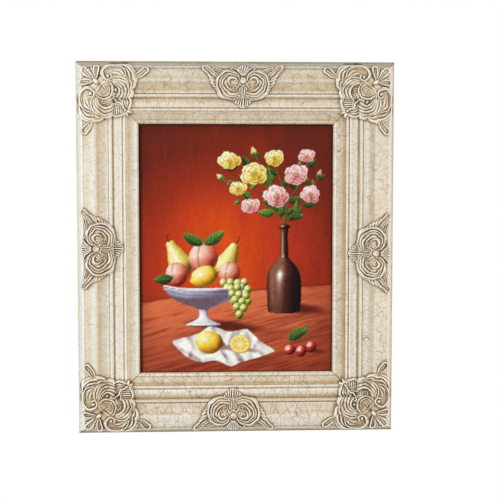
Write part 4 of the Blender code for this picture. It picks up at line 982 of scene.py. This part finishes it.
    def shade(self, spot, radii, strength, colour=(74, 20, 12)):
        u, v = axes(self.x, self.y, spot, canvas["shadeTilt"])
        self.cover(colour, (1 - rise(np.hypot(u / radii[0], v / radii[1]), 0.3, 1.1)) * strength)

    def oval(self, spot, radii, colour, strength=1.0, soft=0.12):
        q = np.hypot((self.x - spot[0]) / radii[0], (self.y - spot[1]) / radii[1])
        self.cover(colour, (1 - rise(q, 1 - soft, 1 + soft)) * strength)

    def cloth(self, outline, folds):
        deep = depthInside(self.x, self.y, curve(outline, 5, True))
        light = 0.74 + 0.14 * unevenness(self.x, self.y, 13, 22) + self.brush * 0.05
        for path, depth in folds:
            gap, _, hand = nearest(self.x, self.y, path)
            light = light - depth * 0.55 * hand * np.exp(-(gap / 4.2) ** 2)
        light = light - 0.30 * np.exp(-abs(deep) / 1.4)  # a hem runs round the edge
        light = light - 0.15 * np.exp(-((abs(deep) - 4.0) / 0.7) ** 2)
        self.cover(self.shades(light, linen), rise(deep, -0.5, 0.7))


def paintGround(e, x, y, width, height):
    u, v = e.x / width, e.y / height
    wash = (unevenness(x, y * 0.16, 6, 14) * 0.5 + unevenness(x, y * 0.2, 2.6, 15) * 0.3
            + unevenness(x, y, 24, 18) * 0.5)
    glow = np.exp(-(((u - 0.42) / 0.25) ** 2 + ((v - 0.46) / 0.23) ** 2))
    dark = 0.85 * rise(v, 0.45, 1.0) + 0.40 * rise(u, 0.62, 1.05) + 0.34 * rise(-u, -0.30, 0.05)
    dark = np.clip(dark - 0.8 * glow + wash * 0.22, 0, 1)
    e.colour = blend(np.zeros(x.shape + (3,)) + (178, 48, 24), (106, 34, 20), dark)
    e.cover((232, 84, 18), np.clip(glow * (0.9 + wash * 0.4), 0, 1))
    e.cover((70, 24, 16), 0.4 * rise(v, 0.94, 1.02))
    # the table, its grain running up to the right
    far = canvas["tableEdge"] + 0.07 * (e.x - 0.5 * width) - 5.0 * rise(-e.x, -70, 0)
    along, across = axes(x, y, (0, 0), 16)
    grain = unevenness(along * 0.10, across, 2.4, 16) + 0.6 * unevenness(along * 0.2, across, 6.5, 19)
    near = rise(far - e.y, 10, 118)
    board = np.zeros(x.shape + (3,)) + (218, 106, 66)
    for tone, share in (((146, 54, 34), near * 0.92),
                        ((224, 124, 78), np.clip(grain, 0, 1) * (0.46 - 0.2 * near)),
                        ((96, 30, 18), np.clip(-grain, 0, 1) * 0.42),
                        ((222, 116, 70), 0.5 * np.exp(-((far - e.y - 8) / 9) ** 2)),
                        ((128, 44, 28), 0.45 * rise(u, 0.76, 1.04) + 0.2 * rise(-u, -0.12, 0.02))):
        board = blend(board, tone, share)
    e.cover(board, rise(far - e.y, -0.8, 1.0))
    e.cover((84, 24, 16), 0.45 * np.exp(-((far - e.y) / 1.3) ** 2))


def paintBranch(e):  # dark bottle with a flowering branch, at the back on the right
    e.shade((222, 88), (44, 9), 0.85)
    for path, leaves, size in (
            ([(200, 206), (196, 232), (178, 258), (150, 282), (118, 296)], 9, 30),
            ([(201, 206), (206, 236), (222, 262), (232, 290)], 7, 27),
            ([(198, 206), (184, 226), (158, 238), (136, 240)], 6, 25),
            ([(200, 206), (202, 238), (194, 268), (186, 294)], 5, 24),
            ([(202, 206), (214, 222), (226, 232), (235, 244)], 4, 22),
            ([(186, 250), (166, 262), (150, 262), (138, 256)], 4, 20),
            ([(186, 252), (174, 276), (160, 300)], 3, 18), ([(222, 236), (238, 254), (248, 272)], 3, 16),
            ([(150, 262), (132, 266), (114, 267)], 3, 16)):
        e.branch(path, leaves, size)
    for spot, size, turn, squash, tones in (
            ((158, 275), 18.5, 10, 0.85, cream), ((124, 293), 15.5, 40, 0.75, cream),
            ((186, 297), 14.0, 25, 0.8, cream), ((136, 255), 12.5, 0, 0.7, cream),
            ((216, 274), 17.0, 18, 0.85, rosy), ((236, 247), 14.0, 50, 0.85, rosy),
            ((231, 300), 11.5, 5, 0.8, rosy), ((189, 244), 17.5, 33, 0.85, rosy),
            ((153, 231), 13.5, 12, 0.75, rosy)):
        e.bloom(spot, size, turn, squash, tones)
    e.bud((160, 297), -16, 17, cream)
    e.bud((246, 268), 22, 15, rosy)
    e.bud((116, 266), -50, 14, cream)
    e.turned((200, 84), 0, [(0, 0), (0.5, 20), (4, 23), (30, 24.5), (52, 23), (66, 17), (76, 8.5),
                            (84, 6.2), (116, 5.6), (119, 7.8), (123, 7.6), (124, 0)], glass, 0.9, 0, 3)
    e.oval((183.5, 118), (1.8, 22), (168, 116, 92), 0.45, 0.6)
    e.oval((197.5, 178), (1.2, 16), (190, 150, 128), 0.6)


def paintBowl(e):  # footed white bowl heaped with fruit, on the left
    e.shade((118, 64), (64, 10), 0.85)
    e.turned((64, 134), -26, [(0, 0), (1, 8), (15, 17), (31, 13), (45, 7.6), (52, 5.6), (54, 0)], pear)
    e.line([(41, 181), (38, 187), (39, 192)], 0.8, stalk)
    e.turned((112, 132), 24, [(0, 0), (1, 8), (15, 16.5), (31, 12), (44, 7.4), (50, 5.4), (52, 0)], pear)
    e.line([(133, 178), (137, 184), (136, 189)], 0.8, stalk)
    e.turned((88, 138), 0, ball(21), peach, 0.35, 0.7)
    e.leaf((88, 178), 152, 32, 7.8, 0.05, 0.22, 0.42)
    e.leaf((89, 178), 34, 34, 8.2, 0.05, -0.2, 0.5)
    e.turned((54, 120), -10, ball(16.5), peach, 0.35, 0.5)
    e.turned((122, 122), 8, ball(16), peach, 0.35, 0.5)
    e.turned((70, 126), 70, [(0, 0), (1.5, 4), (8, 12), (20, 15), (32, 12), (39, 4), (42, 1.8),
                             (43, 0)], lemon, 0.7)
    e.bunch(((4, 116), (4, 121), (3, 127), (3, 130), (2, 134), (1, 138)), 124, 9.6, 5.9, 2.0, 3)
    e.leaf((46, 132), 186, 28, 7.2, 0.05, 0.2, 0.4)
    e.turned((88, 68), 0, [(0, 0), (0.4, 22), (3, 23), (6, 15), (12, 7), (20, 6.4), (25, 11), (30, 25),
                           (38, 44), (48, 54), (50.5, 55), (52, 54), (53, 0)], china, 0.9, 0, 4)
    e.line([(34, 120.4), (50, 117.2), (70, 115.6), (88, 115.2), (106, 115.6), (126, 117.2),
            (142, 120.4)], 1.2, [(196, 192, 204), (236, 236, 238), (254, 252, 248)])
    e.line([(42, 112), (62, 108.2), (88, 107), (114, 108.2), (134, 112)], 0.8,
           [(64, 84, 140), (96, 118, 168), (140, 158, 196)])
    e.bunch(((2, 126), (3, 128), (2, 132), (2, 134), (1, 138)), 116, 9.4, 5.8, 1.6, 2)  # over the rim


def paintLinen(e):  # crumpled linen with a lemon and a cut half on it
    e.shade((122, 24), (76, 9), 0.6)
    e.cloth([(66, 20), (84, 13.6), (104, 15.6), (122, 8.4), (128, 7), (140, 13), (166, 20), (183, 26.6),
             (186, 30), (168, 42), (152, 57), (146, 60), (124, 56), (104, 63), (96, 64), (78, 53),
             (52, 46), (45, 42.6), (50, 34)],
            [([(62, 50), (70, 38), (66, 22)], 0.30), ([(98, 62), (104, 40), (118, 16)], 0.34),
             ([(90, 24), (104, 26), (116, 20)], 0.26), ([(142, 58), (132, 40), (146, 14)], -0.3),
             ([(126, 54), (122, 38), (134, 16)], 0.30), ([(162, 44), (158, 32), (168, 22)], 0.34),
             ([(52, 36), (66, 30), (84, 18)], -0.26), ([(150, 54), (160, 38), (156, 18)], -0.28)])
    e.shade((116, 34), (30, 5), 0.6, (92, 58, 66))
    e.turned((76, 44), 98, [(0, 0), (1.5, 4), (8, 13), (20, 16), (32, 13), (39, 4.4), (42, 1.8),
                            (43, 0)], lemon, 0.7)
    e.shade((150, 30), (20, 4), 0.55, (92, 58, 66))
    e.oval((139, 38), (14.6, 12.6), (206, 150, 30))
    middle = (138, 38.6)
    for radii, tone in (((13.6, 11.8), (250, 226, 120)), ((12.2, 10.5), (252, 244, 206)),
                        ((11.2, 9.6), (240, 200, 74))):
        e.oval(middle, radii, tone)
    for turn in range(0, 360, 40):
        e.line([middle, around(middle, turn, 11, 9.4)], 0.55, [(250, 238, 180), (254, 246, 214)])


def paintCherries(e):  # with a loose leaf on the bare wood
    e.shade((232, 30), (30, 5), 0.75)
    e.leaf((206, 44), 28, 34, 8.0, 0.05, 0.2, 0.45)
    for path in ([(208, 36), (218, 54), (234, 66)], [(224, 34), (230, 52), (234, 66)]):
        e.line(path, 0.7, [(46, 30, 12), (92, 88, 34), (140, 136, 60)])
    for x, y in ((208, 30), (224, 28), (238, 34)):
        e.turned((x, y - 7.6), 0, ball(7.8), cherry, 1.0)


def paintStillLife(x, y, width, height):
    e = Easel(x, y)
    paintGround(e, x, y, width, height)
    for paint in (paintBranch, paintBowl, paintLinen, paintCherries):
        paint(e)
    e.colour = e.colour * (1 + 0.05 * e.brush[..., None])
    # the frame's lip throws a narrow shadow on the varnish
    rim = np.minimum.reduce([gap / wide for gap, wide in
                             zip((x, width - x, y, height - y), canvas["lipShadow"])])
    e.cover((30, 14, 10), 0.85 * (1 - rise(rim, 0.0, 1.0)))
    return np.clip(e.colour, 0, 255)


def makeCanvas():
    wide, tall = (sheetHigh.x - sheetLow.x) / mm, (sheetHigh.z - sheetLow.z) / mm
    columns, rows = int(wide / canvas["step"]), int(tall / canvas["step"])
    x, y = np.meshgrid(np.linspace(0, wide, columns), np.linspace(0, tall, rows))
    margin = (wide - sightWidth) / 2
    picture = linear(paintStillLife(x - margin, y - margin, sightWidth, sightHeight) / 255)
    sag = canvas["sag"] * np.sin(math.pi * x / wide) * np.sin(math.pi * y / tall)
    sag = sag * (0.7 + 0.3 * unevenness(x, y, 60, 21))
    front = np.stack([sheetLow.x + x * mm, sheetLow.y + sag * mm, sheetLow.z + y * mm], -1)
    back = [(px, sheetHigh.y, pz) for px, pz in
            ((sheetLow.x, sheetLow.z), (sheetHigh.x, sheetLow.z), (sheetHigh.x, sheetHigh.z),
             (sheetLow.x, sheetHigh.z))]
    total = rows * columns
    grid = np.arange(total).reshape(rows, columns)
    faces = quads(grid[:-1, :-1], grid[:-1, 1:], grid[1:, 1:], grid[1:, :-1])
    faces.append((total + 1, total, total + 3, total + 2))
    for k, rim in enumerate((grid[0, :], grid[:, -1], grid[-1, ::-1], grid[::-1, 0])):
        faces.append([total + k, total + (k + 1) % 4] + rim[::-1].tolist())
    paint = np.concatenate([picture.reshape(-1, 3), np.full((4, 3), canvas["back"])])
    paint = np.concatenate([paint, np.ones((len(paint), 1))], 1)
    return np.concatenate([front.reshape(-1, 3), back]), faces, paint


def canvasFinish():
    f = newFinish("paintedCanvas")
    spot, paint = f.spot(), f.layer("paint", "Color")
    normal = f.add("ShaderNodeNewGeometry", {}, {}, "Normal")
    behind = f.add("ShaderNodeSeparateXYZ", {}, {0: normal}, 1).step(0.2, 0.6)
    warp, weft = (f.add("ShaderNodeTexWave", {"bands_direction": way},
                        {"Vector": spot, "Scale": 480.0, "Distortion": 0.6}) for way in "XZ")
    weave = warp * weft
    bristle = f.noise(f.stretch(spot, (900.0, 900.0, 170.0)), 1.0, 2.0)
    tone = f.mix(paint, (0.0, 0.0, 0.0), (1 - weave) * 0.05)
    tone = f.mix(tone, (1.0, 0.93, 0.85), bristle.step(0.6, 0.85) * 0.05)
    bare = f.mix(ink(222, 214, 194), ink(190, 178, 150), weave)
    bare = f.mix(bare, ink(196, 176, 138), f.noise(spot, 14.0, 4.0, 0.6).step(0.4, 0.8) * 0.25)
    tone = f.mix(tone, bare, behind)
    return f.done(Base_Color=tone, Roughness=(0.34 + bristle * 0.16 + behind * 0.4).held(),
                  Normal=f.bump(weave * 0.4 + bristle, 0.22, 0.0004), Specular_IOR_Level=0.16)


points, faces, paint = makeCanvas()
picture = addPiece("canvas_picture", points, faces, canvasFinish(), "canvas",
                   canvas["crease"], {"paint": paint})
print("canvas painted")


# stretcher, hanger, plates and screws keep their solids and get their own finishes
def pineFinish(name, upright):
    f = newFinish(name)
    spot = f.spot()
    if upright:
        spot = f.add("ShaderNodeVectorRotate", {"rotation_type": "Y_AXIS"},
                     {"Vector": spot, "Angle": math.pi / 2})
    tone, height = timber(f, f.stretch(spot, (1000.0, 1000.0, 1000.0)))
    return f.done(Base_Color=tone, Roughness=0.62 + height * 0.1, Normal=f.bump(height, 0.2, 0.0004))


def metalFinish(name, bright, dull, roughness):
    f = newFinish(name)
    cloud = f.noise(f.spot(), 160.0, 3.0)
    scratch = f.noise(f.stretch(f.spot(), (300.0, 300.0, 4000.0)), 1.0, 2.0)
    return f.done(Base_Color=f.mix(bright, dull, cloud.step(0.4, 0.7) * 0.7), Metallic=1.0,
                  Roughness=(roughness + cloud * 0.2 + (scratch - 0.5) * 0.1).held(),
                  Normal=f.bump(scratch, 0.08, 0.0002))


brass = metalFinish("brassPlate", ink(222, 190, 118), ink(170, 138, 76), 0.24)
zinc = metalFinish("zincPlate", ink(196, 198, 200), ink(150, 152, 154), 0.34)
pineLevel, pineUpright = pineFinish("pineLevel", False), pineFinish("pineUpright", True)
finishes = {"stretcher": pineLevel, "hanger": brass, "plate_screw": brass, "retaining": zinc}
for name, node in nodes.items():
    for start, finish in finishes.items():
        if name.startswith(start):
            upright = start == "stretcher" and name.endswith(("left", "right"))
            node.data.materials.clear()
            node.data.materials.append(pineUpright if upright else finish)
print("small parts finished")


# floor, lights, world and camera
studio = {"floorDrop": 0.60, "floorSize": 1.5, "sky": 0.255,
          "lights": {  # where from the frame's middle, width and height, watts, colour
              "lightLeft": ((-1.5, -0.95, 0.15), (1.7, 1.4), 28, (0.86, 0.95, 1.0)),
              "lightRight": ((2.05, -1.15, 0.1), (2.2, 1.5), 37, (1.0, 0.96, 0.90)),
              "lightTop": ((-0.3, -1.2, 1.9), (1.6, 0.8), 8, (1.0, 1.0, 1.0)),
              "lightBack": ((0.5, 2.3, 0.2), (1.8, 1.4), 30, (1.0, 1.0, 1.0))}}
camera = {"lens": 79.2, "sensor": 36.0, "clip": (0.05, 30.0), "from": (-56.0, -1527.0, 101.3),
          "to": (19.5, 0.0, -2.4)}
middle = Vector((outer["midX"], outer["back"], outer["midZ"])) * mm

floorMesh = bpy.data.meshes.new("floor")
half, floorZ = studio["floorSize"] / 2, cadLow.z - studio["floorDrop"]
floorMesh.from_pydata([(-half, -half, floorZ), (half, -half, floorZ), (half, half, floorZ),
                       (-half, half, floorZ)], [], [(0, 1, 2, 3)])
floor = bpy.data.objects.new("floor", floorMesh)
bpy.context.collection.objects.link(floor)
paper = newFinish("paperFloor")
mottled = paper.mix((0.86, 0.86, 0.85), (0.82, 0.82, 0.81), paper.noise(paper.spot(), 6.0, 2.0))
floorMesh.materials.append(paper.done(Base_Color=mottled, Roughness=0.8))


def stand(name, data, spot, target):  # placed from the frame's middle and turned to the target
    made = bpy.data.objects.new(name, data)
    made.location = middle + spot
    made.rotation_mode = "QUATERNION"
    made.rotation_quaternion = (middle + target - made.location).to_track_quat("-Z", "Y")
    bpy.context.collection.objects.link(made)
    return made


for name, (spot, size, watts, colour) in studio["lights"].items():
    lamp = bpy.data.lights.new(name, "AREA")
    lamp.shape = "RECTANGLE"
    lamp.size, lamp.size_y = size
    lamp.energy, lamp.color = watts, colour
    stand(name, lamp, Vector(spot), Vector((0.0, 0.0, 0.0)))

world = bpy.data.worlds.new("studio")
bpy.context.scene.world = world
sky = Finish(world)
glow = sky.add("ShaderNodeBackground", {}, {"Color": (1.0, 0.99, 0.97), "Strength": studio["sky"]})
plain = sky.add("ShaderNodeBackground", {}, {"Color": (1.0, 1.0, 1.0), "Strength": 1.0})
seen = sky.add("ShaderNodeLightPath", {}, {}, "Is Camera Ray")
shown = sky.add("ShaderNodeMixShader", {}, {0: seen, 1: glow, 2: plain})
sky.feed(sky.tree.nodes["World Output"].inputs["Surface"], shown)

eye = bpy.data.cameras.new("camera")
eye.lens, eye.sensor_width = camera["lens"], camera["sensor"]
eye.clip_start, eye.clip_end = camera["clip"]
bpy.context.scene.camera = stand("camera", eye, Vector(camera["from"]) * mm, Vector(camera["to"]) * mm)
bpy.context.scene.view_settings.view_transform = "Standard"
print("studio set")
